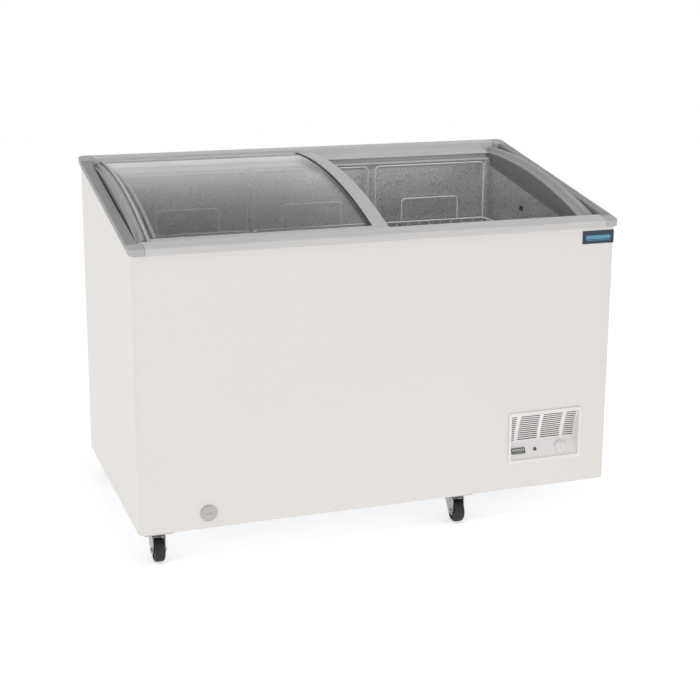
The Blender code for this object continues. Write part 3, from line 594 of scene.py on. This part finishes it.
def make_rims():
    """Hollow rim extrusions with softly rounded edges, and a shallow step near the outer edge."""
    for end in ("front", "rear"):
        node = f"{end}_rim"
        low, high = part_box(node)
        sign = -1 if end == "front" else 1
        outer = low.y if end == "front" else high.y
        inner = high.y if end == "front" else low.y
        outline = fillet(channel(outer, inner, sign), 0.0016)
        rim = mesh_object(f"{end}_rim_extrusion", on_top(prism(outline, "X", low.x, high.x)))
        finished(rim, RIM_X, "cabinet", "rim_grey", node)
    # the side rims take the darker copy of the rim grey, which is painted shade
    for side, sign in (("left", -1), ("right", 1)):
        node = f"{side}_rim"
        low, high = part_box(node)
        outer = low.x if side == "left" else high.x
        inner = high.x if side == "left" else low.x
        outline = fillet(channel(outer, inner, sign), 0.0016)
        rim = mesh_object(f"{side}_rim_extrusion", on_top(prism(outline, "Y", low.y, high.y)))
        finished(rim, RIM_SIDE_SHADED, "cabinet", "rim_grey", node)


def make_caps():
    for side, sx in (("left", -1), ("right", 1)):
        for end, sy in (("front", -1), ("rear", 1)):
            node = f"{end}_{side}_corner_cap"
            low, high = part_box(node)
            long, deep = high.x - low.x, high.y - low.y
            r = 0.018
            corner = round_corner(HALF_X - r, HALF_Y - r, r, 0, 12)
            outline = [(HALF_X - long, HALF_Y - deep), (HALF_X, HALF_Y - deep)]
            outline += corner + [(HALF_X - long, HALF_Y)]
            outline = [(sx * x, sy * y) for x, y in outline]
            cap = mesh_object(f"{end}_{side}_cap_moulding", on_top(prism(outline, "Z", -0.017, 0.0)))
            finished(bevel(cap, 0.0022, 4), CAP, "cabinet", "corner_grey", node)


# ---------------------------------------------------------------- lid frame


def make_rails():
    """Extrusions with a ledge on top and the two stepped tracks inside it."""
    wall, step = 0.003, TRACK_STEP
    for name, edge, toward in (
        ("front_lid_rail", ARC_Y - LEDGE_EDGE, 1),
        ("rear_lid_rail", ARC_Y + LEDGE_EDGE, -1),
    ):
        low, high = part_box(name)
        deep = (edge - low.y) if toward == 1 else (high.y - edge)
        profile = [
            (-deep, 0.0),
            (0.0, 0.0),
            (0.0, TRACK_UP),
            (step + 0.0125, TRACK_UP),
            (step + 0.0125, TRACK_UP - 0.0015),
            (step, TRACK_UP - 0.0015),
            (step, TRACK_LOW),
            (step + 0.020, TRACK_LOW),
            (step + 0.020, FRAME_BOTTOM),
            (step - wall, FRAME_BOTTOM),
            (step - wall, TRACK_UP - wall),
            (-deep + wall, TRACK_UP - wall),
            (-deep + wall, FRAME_BOTTOM),
            (-deep, FRAME_BOTTOM),
        ]
        outline = [(edge + toward * d, n) for d, n in fillet(profile, 0.0006)]
        rail = mesh_object(f"{name}_extrusion", lean(prism(outline, "X", low.x, high.x)))
        blocks = []
        for sign in (-1, 1):
            x0, x1 = sorted((sign * (LINER_X - 0.0005), sign * (high.x + 0.01)))
            y0, y1 = sorted((edge - toward * 0.00005, edge + toward * 0.06))
            blocks.append(lean(box((x0, y0, -0.06), (x1, y1, 0.02))))
        boolean(rail, join(*blocks))
        clear_corners(rail)
        rail.data.transform(Matrix.Translation((0, 0, RIM_MID_Z)))
        rail.data.shade_smooth()
        rail.data.set_sharp_from_angle(angle=math.radians(35))
        finished(rail, RAIL, "cabinet", "rim_grey", name)


def clear_corners(shape):
    """Cuts the open slot beside each side rim, and the room of the rear corner caps."""
    for sign in (-1, 1):
        x0, x1 = sorted((sign * (ARCH_X + 0.0002), sign * (RAIL_X + 0.01)))
        boolean(shape, lean(box((x0, -0.4, -0.030), (x1, 0.4, 0.06))))
        x0, x1 = sorted((sign * (HALF_X - 0.0385), sign * (RAIL_X + 0.01)))
        boolean(shape, lean(box((x0, HALF_Y - 0.0475, -0.06), (x1, 0.4, 0.06))))


def arch_section(crest):
    """What is cut away above an end arch, as (x, radius) points."""
    return [
        (0.5500, crest + 0.010),
        (0.5500, crest - 0.0145),
        (0.5602, crest - 0.0145),
        (0.5612, crest - 0.0130),
        (0.5630, crest - 0.0125),
        (0.5762, crest - 0.0125),
        (0.5770, crest - 0.0115),
        (0.5775, crest - 0.0040),
        (0.5782, crest - 0.0022),
        (0.5798, crest - 0.0012),
        (0.5825, crest - 0.0010),
        (0.5862, crest - 0.0012),
        (0.5882, crest - 0.0020),
        (0.5895, crest - 0.0034),
        (0.5912, crest - 0.0078),
        (0.5925, crest - 0.0090),
        (0.5975, crest - 0.0091),
        (0.5984, crest - 0.0080),
        (0.5992, crest - 0.0075),
        (0.6150, crest - 0.0075),
        (0.6150, crest + 0.010),
    ]


# How the broad ridge runs down at its front end, as (across, height) points
TOE = [(-0.236, 0.0005), (-0.242, -0.0002), (-0.248, -0.0020), (-0.254, -0.0042), (-0.260, -0.0070)]
TOE += [(-0.264, -0.0094), (-0.267, -0.0120), (-0.2690, -0.0150), (-0.270, -0.0175)]
TOE += [(-0.35, -0.0175), (-0.35, 0.05), (-0.236, 0.05)]


def make_arches():
    """Ends of the lid frame: a dark shelf under the lids' ends, a broad rounded ridge and a thin one."""
    crest = UPPER_R
    half = LEDGE_EDGE - 0.0005
    for name, sign in (("left_end_arch", -1), ("right_end_arch", 1)):
        arc = [-half + 2 * half * i / ARC_STEPS for i in range(ARC_STEPS + 1)]
        outline = [(ARC_Y + d, arc_n(crest, d)) for d in arc]
        outline += [(ARC_Y + half, FRAME_BOTTOM), (ARC_Y - half, FRAME_BOTTOM)]
        x0, x1 = sorted((sign * LINER_X, sign * RAIL_X))
        arch = mesh_object(f"{name}_moulding", lean(prism(outline, "X", x0, x1)))
        reach = half + 0.02
        cut = [(sign * x, r) for x, r in arch_section(crest)]
        boolean(arch, arc_sweep(cut, reach, reach, crest))
        x0, x1 = sorted((sign * (RIDGE_X - 0.002), sign * (ARCH_X - 0.002)))
        boolean(arch, lean(prism([(ARC_Y + d, n) for d, n in TOE], "X", x0, x1)))
        clear_corners(arch)
        arch.data.transform(Matrix.Translation((0, 0, RIM_MID_Z)))
        arch.data.shade_smooth()
        arch.data.set_sharp_from_angle(angle=math.radians(42))
        finished(arch, ARCH, "cabinet", "rim_grey", name)
        # the inner web face gets the darker grey, painted shade
        paint_web_shade(arch, sign)
        # dark block deep in the slot between the arch and the side rim, in the black seal rubber: painted
        # shadow for the narrow gap
        s0, s1 = sorted((sign * 0.6003, sign * 0.6057))
        gap_shade_block = mesh_object(f"{name}_seal", on_top(box((s0, -0.3090, -0.0295), (s1, 0.2995, -0.0120))))
        finished(gap_shade_block, SEAL, "cabinet", "black_plastic")


def paint_web_shade(arch, sign):
    """Paints the arch's inner upright face darker than its ridges, as painted shade."""
    arch.data.materials.append(WEB_SHADED)
    for face in arch.data.polygons:
        inward = face.normal.x * sign < -0.7
        if inward and abs(face.center.x) < RIDGE_X - 0.005:
            face.material_index = 1


def runner_profile(radius, half, foot, seat, tip):
    inner = seat - 0.0072
    return [
        (-half, foot),
        (-inner, foot),
        (-inner, arc_n(radius, inner) - GAP),
        (-seat, arc_n(radius, seat) - GAP),
        (-seat, tip),
        (-half, tip),
    ]


def make_lid(side, radius, half, foot, strip, left, right):
    """One sliding lid: curved glass, two stiles, two runners, and the dark seals beside the glass."""
    body = f"{side}_lid"
    (left_node, left_wide, left_up), (right_node, right_wide, right_up) = left, right
    lid_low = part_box(f"{side}_lid_{left_node}")[0].x
    lid_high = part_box(f"{side}_lid_{right_node}")[1].x
    inner_low, inner_high = lid_low + left_wide, lid_high - right_wide
    for node, x0, x1, up in (
        (left_node, lid_low, inner_low, left_up),
        (right_node, inner_high, lid_high, right_up),
    ):
        low, high = radius - 0.003, radius + up
        section = fillet([(x0, low), (x1, low), (x1, high), (x0, high)], 0.0022, 4)
        sweep = arc_sweep(section, half - 0.001, half - 0.001, radius)
        stile = mesh_object(f"{side}_lid_{node}_bar", raise_to_rim(sweep), 50)
        finished(stile, STILE, body, "rim_grey", f"{side}_lid_{node}")
    x0, x1 = inner_low + GAP, inner_high - GAP
    front_seat, rear_seat = half - strip, half - 0.0013
    reaches = (front_seat - 0.0012, rear_seat - 0.0012)
    sheet = [(x0, radius), (x1, radius), (x1, radius + GLASS), (x0, radius + GLASS)]
    glass = mesh_object(f"{side}_lid_pane", raise_to_rim(arc_sweep(sheet, *reaches, radius)), 30)
    finished(glass, GLASS_MAT, body, "glass", f"{side}_lid_glass")
    add_beads(side, radius, reaches, inner_high)
    tip = arc_n(radius + GLASS, half)
    front_tip = max(tip, -0.002) if strip > 0.01 else tip
    front = runner_profile(radius, half, foot, front_seat, front_tip)
    rear = runner_profile(radius, half, foot, rear_seat, tip)
    for node, flip, profile in (("front_runner", 1, front), ("rear_runner", -1, rear)):
        outline = [(ARC_Y + flip * d, n) for d, n in profile]
        runner = mesh_object(f"{side}_lid_{node}_strip", on_top(prism(outline, "X", x0, x1)))
        finished(bevel(runner, 0.0004, 2), STILE, body, "rim_grey", f"{side}_lid_{node}")


def add_beads(side, radius, reaches, edge):
    """The double gasket line where the glass meets the bar on its right."""
    for number, (s0, s1) in enumerate(((edge - 0.0030, edge - 0.0004), (edge - 0.0066, edge - 0.0052))):
        low, high = radius + GLASS + 0.0001, radius + GLASS + 0.0012
        section = fillet([(s0, low), (s1, low), (s1, high), (s0, high)], 0.0004, 2)
        sweep = raise_to_rim(arc_sweep(section, *reaches, radius))
        bead = mesh_object(f"{side}_lid_gasket_{number}", sweep, 50)
        finished(bead, SEAL, f"{side}_lid", "black_plastic")


# ---------------------------------------------------------------- baskets


def arch_points(x, y, low, high, corner=0.012, steps=6):
    points = [(-x, y, low)]
    for cx, start in ((-x + corner, 180), (x - corner, 90)):
        for i in range(steps + 1):
            a = math.radians(start - 90 * i / steps)
            points.append((cx + corner * math.cos(a), y, high - corner + corner * math.sin(a)))
    points.append((x, y, low))
    return points


def ring_points(x, y0, y1, z, corner=0.014, steps=5):
    return [(px, py, z) for px, py in rounded_rect(-x, y0, x, y1, corner, steps)]


def make_basket(side):
    """Welded wire basket: rails, uprights that run on under the floor, hanger and handle loops."""
    node = f"{side}_basket"
    low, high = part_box(node)
    middle = (low.x + high.x) / 2
    x = (high.x - low.x) / 2 - 0.0024
    y0, y1 = low.y + 0.0024, high.y - 0.0024
    floor, rail = low.z + 0.0034, 0.690 - 0.0026
    thick, thin = 0.0024, 0.0016
    runs = [
        (ring_points(x, y0, y1, rail), thick, True),
        (ring_points(x - 0.002, y0 + 0.002, y1 - 0.002, (rail + floor) / 2 + 0.02), thin, True),
        (ring_points(x - 0.004, y0 + 0.004, y1 - 0.004, floor + 0.012), 0.0020, True),
    ]
    across = 10
    for i in range(1, across):
        px = -x + 2 * x * i / across
        lap = [(px, y0 + 0.003, rail + 0.001), (px, y0 + 0.0045, floor + 0.010), (px, y0 + 0.012, floor)]
        lap += [(px, y1 - 0.012, floor), (px, y1 - 0.0045, floor + 0.010), (px, y1 - 0.003, rail + 0.001)]
        runs.append((lap, thin, False))
    along = 14
    for i in range(1, along):
        py = y0 + (y1 - y0) * i / along
        rise = floor + 0.0032
        lap = [(-x + 0.003, py, rail + 0.001), (-x + 0.0045, py, rise + 0.010), (-x + 0.012, py, rise)]
        lap += [(x - 0.012, py, rise), (x - 0.0045, py, rise + 0.010), (x - 0.003, py, rail + 0.001)]
        runs.append((lap, thin, False))
    rear = 0.255 - 0.0015
    front = low.y + 0.0015
    runs.append((arch_points(x + 0.0024 - 0.004, rear, floor + 0.02, 0.852), 0.0022, False))
    runs.append((arch_points(0.0875, rear, rail - 0.002, 0.755), 0.0022, False))
    runs.append((arch_points(x + 0.0024 - 0.004, front, rail - 0.002, 0.742), 0.0022, False))
    basket = wires(f"{side}_wire_basket", runs)
    basket.data.transform(Matrix.Translation((middle, 0, 0)))
    finished(basket, WIRE, node, "white_wire", node)


# ---------------------------------------------------------------- castors


def make_castor(end, side):
    name = f"{end}_{side}_castor"
    wheel_low, wheel_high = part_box(f"{name}_wheel")
    hub = (wheel_low + wheel_high) / 2
    half = (wheel_high.x - wheel_low.x) / 2
    radius = (wheel_high.z - wheel_low.z) / 2
    plate_low, plate_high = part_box(f"{name}_plate")
    middle = (plate_low + plate_high) / 2
    make_castor_plate(name, plate_low, plate_high, middle)
    leg_out = make_castor_fork(name, f"{end}_{side}_fork", middle, hub, half, radius)
    make_castor_axle(name, f"{end}_{side}_fork", hub, leg_out)
    make_castor_wheel(name, f"{end}_{side}_wheel", hub, half, radius)


def make_castor_plate(name, low, high, middle):
    """Fixed plate with its pressed race and four bolt heads."""
    top, cx, cy = high.z, middle.x, middle.y
    outline = rounded_rect(low.x, low.y, high.x, high.y, 0.007)
    plate = mesh_object(f"{name}_plate_pressing", prism(outline, "Z", top - 0.0048, top))
    race = [(0.0, -0.0108), (0.0145, -0.0108), (0.0178, -0.0100), (0.0192, -0.0080)]
    race += [(0.0200, -0.0040), (0.0, -0.0040)]
    boolean(plate, lathe(race[::-1], (cx, cy, top), (0, 0, 1)), "UNION")
    plate.data.shade_smooth()
    plate.data.set_sharp_from_angle(angle=math.radians(30))
    finished(plate, ZINC, "cabinet", "zinc", f"{name}_plate")
    bolts = []
    for bx in (-0.027, 0.027):
        for by in (-0.027, 0.027):
            foot = (cx + bx, cy + by, top - 0.0080)
            bolts.append(cylinder(0.0052, foot, (cx + bx, cy + by, top - 0.0047), 6))
    heads = mesh_object(f"{name}_bolts", join(*bolts))
    finished(bevel(heads, 0.0005, 2), ZINC, "cabinet", "zinc")


def make_castor_fork(name, body, middle, hub, half, radius):
    """Two cheeks and a crown, bent from one plate. Returns how far the cheeks stand from the middle."""
    low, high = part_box(f"{name}_fork")
    crown = high.z
    leg_in, leg_out = half + 0.001, (high.x - low.x) / 2
    axle_y = hub.y - middle.y
    sy = 1 if axle_y > 0 else -1
    cheek = [
        (-sy * 0.018, crown),
        (-sy * 0.018, crown - 0.012),
        (axle_y - sy * 0.012, radius - 0.009),
        (axle_y + sy * 0.009, radius - 0.009),
        (axle_y + sy * 0.014, radius + 0.004),
        (sy * 0.030, crown - 0.008),
        (sy * 0.027, crown),
    ]
    fork = mesh_object(f"{name}_fork_pressing", prism(fillet(cheek, 0.005, 5), "X", -leg_out, leg_out))
    boolean(fork, box((-leg_in, -0.06, -0.02), (leg_in, 0.06, crown - 0.003)))
    fork.data.transform(Matrix.Translation((middle.x, middle.y, 0)))
    finished(bevel(fork, 0.0007, 2), ZINC, body, "zinc", f"{name}_fork")
    return leg_out


def make_castor_axle(name, body, hub, leg_out):
    """Axle bolt with a round head and a hexagonal nut."""

    def along(radius, start, end, segments):
        return cylinder(radius, (hub.x + start, hub.y, hub.z), (hub.x + end, hub.y, hub.z), segments)

    pin = along(0.0030, -leg_out - 0.001, leg_out + 0.001, 20)
    nut = along(0.0058, leg_out + 0.0002, leg_out + 0.0036, 6)
    head = along(0.0055, -leg_out - 0.0030, -leg_out - 0.0002, 24)
    axle = mesh_object(f"{name}_axle_bolt", join(pin, nut, head))
    finished(bevel(axle, 0.0004, 2), ZINC, body, "zinc", f"{name}_axle")


def make_castor_wheel(name, body, hub, half, radius):
    """Crowned tread, recessed sides and a raised hub."""
    profile = [(0.0036, half), (0.0080, half), (0.0090, half - 0.0022), (0.0185, half - 0.0030)]
    profile += [(0.0205, half - 0.0006), (0.0250, half - 0.0006), (0.0278, half - 0.0028)]
    profile += [(radius, half - 0.0060)]
    mirrored = [(r, -h) for r, h in reversed(profile)]
    tread = lathe(profile + mirrored + profile[:1], hub, (1, 0, 0), 64)
    wheel = mesh_object(f"{name}_wheel_tread", tread, 28)
    finished(wheel, BLACK_RUBBER, body, "black_rubber", f"{name}_wheel")


# ---------------------------------------------------------------- front fittings

CREASE = (-0.320, 0.1975)
FOOT = (-0.3385, 0.156)
HEAD = (-0.3395, 0.2765)


def louvre_face(offset=0.0, steps=24):
    (hy, hz), (cy, cz) = HEAD, CREASE
    return [
        (hy + offset + (cy - hy) * math.sin(i / steps * math.pi / 2), hz + (cz - hz) * i / steps)
        for i in range(steps + 1)
    ]


def make_grille():
    low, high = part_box("grille_panel")
    x0, x1, z0, z1 = low.x, high.x, low.z, high.z
    face = -SHELL_Y - GAP
    outline = rounded_rect(x0, z0, x1, z1, 0.003, 5)
    panel = mesh_object("grille_moulding", prism(outline, "Y", low.y, face))
    inset = 0.004
    boolean(panel, box((x0 + inset, face - 0.001, z0 + inset), (x1 - inset, high.y, z1 - inset)), "UNION")
    front = louvre_face() + [FOOT, (-0.37, FOOT[1]), (-0.37, HEAD[1])]
    boolean(panel, prism(front, "X", x0 + 0.007, x1 - 0.007))
    skin = 0.0025
    back = louvre_face(skin) + [(FOOT[0] + skin, FOOT[1]), (-0.30, FOOT[1]), (-0.30, HEAD[1])]
    boolean(panel, prism(back, "X", x0 + 0.0065, x1 - 0.0065))
    columns = ((0.350, 0.366), (0.376, 0.432), (0.441, 0.497), (0.507, 0.537))
    count = 12
    top, bottom = HEAD[1] - 0.003, CREASE[1] + 0.004
    pitch = (top - bottom) / count
    slots = []
    for i in range(count):
        z = bottom + pitch * (i + 0.5)
        for left, right in columns:
            rect = rounded_rect(left, z - 0.0014, right, z + 0.0014, 0.0012, 3)
            slots.append(prism(rect, "Y", -0.36, -0.30))
    boolean(panel, join(*slots))
    panel.data.shade_smooth()
    panel.data.set_sharp_from_angle(angle=math.radians(30))
    finished(bevel(panel, 0.0005, 2), WHITE, "cabinet", "white_plastic", "grille_panel")


def strip_frame():
    """Places things on the control strip: local X right, -Y out of the strip, Z up along it."""
    (cy, cz), (fy, fz) = CREASE, FOOT
    tilt = -math.atan2(cy - fy, cz - fz)
    origin = Matrix.Translation((0, (cy + fy) / 2, (cz + fz) / 2))
    return origin @ Matrix.Rotation(tilt, 4, "X")


def make_controls():
    placed = strip_frame()
    knob_x = 0.496
    # knob: stepped disc with a raised grip bar
    profile = [(0.0, 0.0062), (0.0105, 0.0062), (0.0118, 0.0054), (0.0138, 0.0050), (0.0145, 0.0040)]
    profile += [(0.0145, 0.0004), (0.0, 0.0004)]
    knob = mesh_object("thermostat_dial", lathe(profile, (knob_x, 0, 0), (0, -1, 0), 72), 30)
    outline = rounded_rect(knob_x - 0.0022, -0.0125, knob_x + 0.0022, 0.0125, 0.0021, 5)
    bar = prism(outline, "Y", -0.0100, -0.004)
    boolean(knob, bar, "UNION")
    knob.data.transform(placed)
    finished(bevel(knob, 0.0005, 2, 35), WHITE, "thermostat_knob", "white_plastic", "thermostat_knob")
    line = box((knob_x - 0.0005, -0.01008, 0.006), (knob_x + 0.0005, -0.0099, 0.0118))
    pointer = mesh_object("dial_pointer", line)
    pointer.data.transform(placed)
    finished(pointer, ETCH, "thermostat_knob", "white_plastic")
    # fine ticks round the dial
    ticks = []
    for i in range(11):
        a = math.radians(-135 + 27 * i)
        tick = box((-0.0003, -0.0004, 0.0158), (0.0003, -0.0001, 0.0178))
        spin = Matrix.Translation((knob_x, 0, 0)) @ Matrix.Rotation(a, 4, "Y")
        bmesh.ops.transform(tick, matrix=spin, verts=tick.verts)
        ticks.append(tick)
    scale = mesh_object("dial_ticks", join(*ticks))
    scale.data.transform(placed)
    finished(scale, ETCH, "cabinet", "white_plastic")
    # thermometer: dark window with pale segments
    outline = rounded_rect(0.3545, -0.0078, 0.3935, 0.0078, 0.0012, 4)
    window = mesh_object("thermometer_window", prism(outline, "Y", -0.0020, -0.0004))
    window.data.transform(placed)
    finished(bevel(window, 0.0003, 2), DISPLAY, "cabinet", "display", "thermometer_display")
    marks = []
    for i in range(6):
        left = 0.3575 + 0.0058 * i
        marks.append(box((left, -0.00215, -0.0010), (left + 0.0036, -0.0019, 0.0052)))
    marks.append(box((0.3575, -0.00215, -0.0052), (0.3905, -0.0019, -0.0042)))
    legend = mesh_object("thermometer_segments", join(*marks))
    legend.data.transform(placed)
    finished(legend, MARK, "cabinet", "display")
    # lamp: domed lens in a low collar
    dome = [(0.0, 0.0036), (0.0018, 0.0034), (0.0034, 0.0027), (0.0044, 0.0016), (0.0047, 0.0004)]
    dome += [(0.0, 0.0004)]
    lens = mesh_object("lamp_lens", lathe(dome, (0.4225, 0, 0), (0, -1, 0)), 40)
    lens.data.transform(placed)
    finished(lens, LAMP.mat, "cabinet", "lamp_red", "indicator_lamp")
    collar = [(0.0049, 0.0012), (0.0058, 0.0010), (0.0060, 0.0003), (0.0049, 0.0003), (0.0049, 0.0012)]
    ring = mesh_object("lamp_collar", lathe(collar, (0.4225, 0, 0), (0, -1, 0)), 30)
    ring.data.transform(placed)
    finished(ring, WHITE, "cabinet", "white_plastic")


def make_drain_plug():
    low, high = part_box("drain_plug")
    x, z = (low.x + high.x) / 2, (low.z + high.z) / 2
    r = (high.x - low.x) / 2
    profile = [(0.0, 0.0036), (0.0130, 0.0036), (0.0142, 0.0030), (0.0152, 0.0036), (r - 0.003, 0.0044)]
    profile += [(r - 0.001, 0.0036), (r, 0.0018), (r, 0.0003), (0.012, 0.0003)]
    profile += [(0.012, -0.0195), (0.0, -0.0195)]
    plug = mesh_object("drain_bung", lathe(profile, (x, -SHELL_Y, z), (0, -1, 0), 72), 32)
    slot = rounded_rect(x - 0.008, z - 0.0016, x + 0.008, z + 0.0016, 0.0015)
    boolean(plug, prism(slot, "Y", -0.36, -SHELL_Y - 0.0022))
    plug.data.shade_smooth()
    plug.data.set_sharp_from_angle(angle=math.radians(32))
    finished(plug, PLUG_GREY, "drain_plug", "plug_grey", "drain_plug")


def make_badge():
    """A plain dark plate with two blue bars and no name."""
    low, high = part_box("badge_plate")
    outline = rounded_rect(low.x, low.z, high.x, high.z, 0.0015, 4)
    plate = mesh_object("badge_base", prism(outline, "Y", low.y + 0.0003, high.y))
    finished(bevel(plate, 0.0003, 2), NAVY, "cabinet", "badge_navy", "badge_plate")
    mid = (low.z + high.z) / 2
    bars = [
        box((low.x + 0.010, low.y, mid - 0.0050), (high.x - 0.010, low.y + 0.0004, mid + 0.0045)),
        box((low.x + 0.010, low.y, mid - 0.0085), (high.x - 0.010, low.y + 0.0004, mid - 0.0070)),
    ]
    stripes = mesh_object("badge_stripes", join(*bars))
    finished(stripes, BADGE_BLUE, "cabinet", "badge_navy")


# ---------------------------------------------------------------- rear, base and machine


def make_rear_screws():
    """Pan-head screws round the rear panel and the vent."""
    spots = []
    for i in range(7):
        x = -0.60 + 0.20 * i
        spots.append((x, BASE_Z + 0.012))
        spots.append((x, 0.868))
    for z in (0.28, 0.48, 0.68):
        spots += [(-0.61, z), (0.61, z)]
    low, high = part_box("rear_vent_grille")
    for x in (low.x - 0.008, high.x + 0.008):
        spots += [(x, low.z + 0.02), (x, high.z - 0.02)]
    profile = [(0.0, 0.0022), (0.0018, 0.0021), (0.0034, 0.0014), (0.0040, 0.0002), (0.0, 0.0002)]
    heads = [lathe(profile, (x, SHELL_Y, z), (0, 1, 0), 20) for x, z in spots]
    screws = mesh_object("rear_screws", join(*heads), 40)
    slots = []
    for x, z in spots:
        low, high = SHELL_Y + 0.0014, SHELL_Y + 0.004
        slots.append(box((x - 0.0022, low, z - 0.0003), (x + 0.0022, high, z + 0.0003)))
        slots.append(box((x - 0.0003, low, z - 0.0022), (x + 0.0003, high, z - 0.00035)))
        slots.append(box((x - 0.0003, low, z + 0.00035), (x + 0.0003, high, z + 0.0022)))
    boolean(screws, join(*slots))
    finished(screws, ZINC, "cabinet", "zinc")


def give(mat, *names):
    """Puts a material on carried-over CAD nodes."""
    for name in names:
        node = nodes[name]
        node.data.materials.clear()
        node.data.materials.append(mat)


def dress_nodes():
    give(ZINC_SHEET, "rear_panel", "rear_vent_grille", "base_panel")
    give(FOAM, "foam_insulation")
    give(COPPER, "evaporator_coil")
    give(BLACK_PAINT, "compressor", "condenser_coil", "fan_motor")
    give(BLACK_PLASTIC, "relay_box", "fan_blade", "cord_gland")


# ---------------------------------------------------------------- stage


def make_stage():
    """A plain white floor under a white studio sky that dims toward the zenith."""
    floor = mesh_object("floor", box((-9, -9, -0.02), (9, 9, 0.0)))
    white = Shader("floor_white", (0.93, 0.93, 0.93), 0.6, Emission_Color=(1.0, 1.0, 1.0, 1.0))
    white.main.inputs["Emission Strength"].default_value = 0.52
    white.colour(white.noise(0.6), (0.925, 0.925, 0.925), (0.935, 0.935, 0.935))
    floor.data.materials.append(white.mat)
    world = bpy.data.worlds.new("studio")
    world.use_nodes = True
    nodes, links = world.node_tree.nodes, world.node_tree.links
    background = nodes["Background"]
    background.inputs["Strength"].default_value = 1.0
    place = nodes.new("ShaderNodeTexCoord")
    parts = nodes.new("ShaderNodeSeparateXYZ")
    ramp = nodes.new("ShaderNodeValToRGB")
    ramp.color_ramp.elements[0].position = 0.10
    ramp.color_ramp.elements[0].color = (1.02, 1.02, 1.02, 1.0)
    ramp.color_ramp.elements[1].position = 0.75
    ramp.color_ramp.elements[1].color = (0.36, 0.36, 0.365, 1.0)
    links.new(place.outputs["Generated"], parts.inputs[0])
    links.new(parts.outputs["Z"], ramp.inputs["Fac"])
    links.new(ramp.outputs["Color"], background.inputs["Color"])
    bpy.context.scene.world = world
    bpy.context.scene.view_settings.view_transform = "Standard"


def area_light(name, location, target, size, power):
    data = bpy.data.lights.new(name, "AREA")
    data.energy = power
    data.size = size
    light = bpy.data.objects.new(name, data)
    light.location = location
    way = Vector(target) - Vector(location)
    light.rotation_euler = way.to_track_quat("-Z", "Y").to_euler()
    bpy.context.scene.collection.objects.link(light)
    return light


def make_lights():
    area_light("key", (-1.6, -4.0, 2.2), (0, 0, 0.6), 2.5, 14)
    area_light("top", (0.2, -0.7, 3.3), (0, 0, 0.5), 1.6, 24)
    area_light("side", (-4.0, -0.6, 1.5), (0, 0, 0.5), 2.0, 6)


def make_camera():
    data = bpy.data.cameras.new("camera")
    data.lens = 70.32
    data.sensor_width = 36.0
    data.shift_x = 0.0500
    data.shift_y = -0.1001
    cam = bpy.data.objects.new("camera", data)
    cam.location = (-1.2026, -3.3533, 1.3735)
    cam.rotation_euler = (math.radians(90 - 12.424), 0.0, math.radians(-18.655))
    bpy.context.scene.collection.objects.link(cam)
    bpy.context.scene.camera = cam


# ---------------------------------------------------------------- whole

make_stage()
make_lights()
make_camera()
make_wrap()
make_liner()
make_rims()
make_caps()
make_rails()
make_arches()
grip_bar = ("grip_stile", 0.040, 0.006)
make_lid("left", UPPER_R, UPPER_HALF, TRACK_UP + GAP, 0.0208, ("end_stile", 0.006, 0.0055), grip_bar)
make_lid("right", LOWER_R, LOWER_HALF, TRACK_LOW + GAP, 0.0013, ("end_stile", 0.010, 0.0055), grip_bar)
for basket_side in ("left", "middle", "right"):
    make_basket(basket_side)
for castor_end in ("front", "rear"):
    for castor_side in ("left", "right"):
        make_castor(castor_end, castor_side)
make_grille()
make_controls()
make_drain_plug()
make_badge()
make_rear_screws()
dress_nodes()
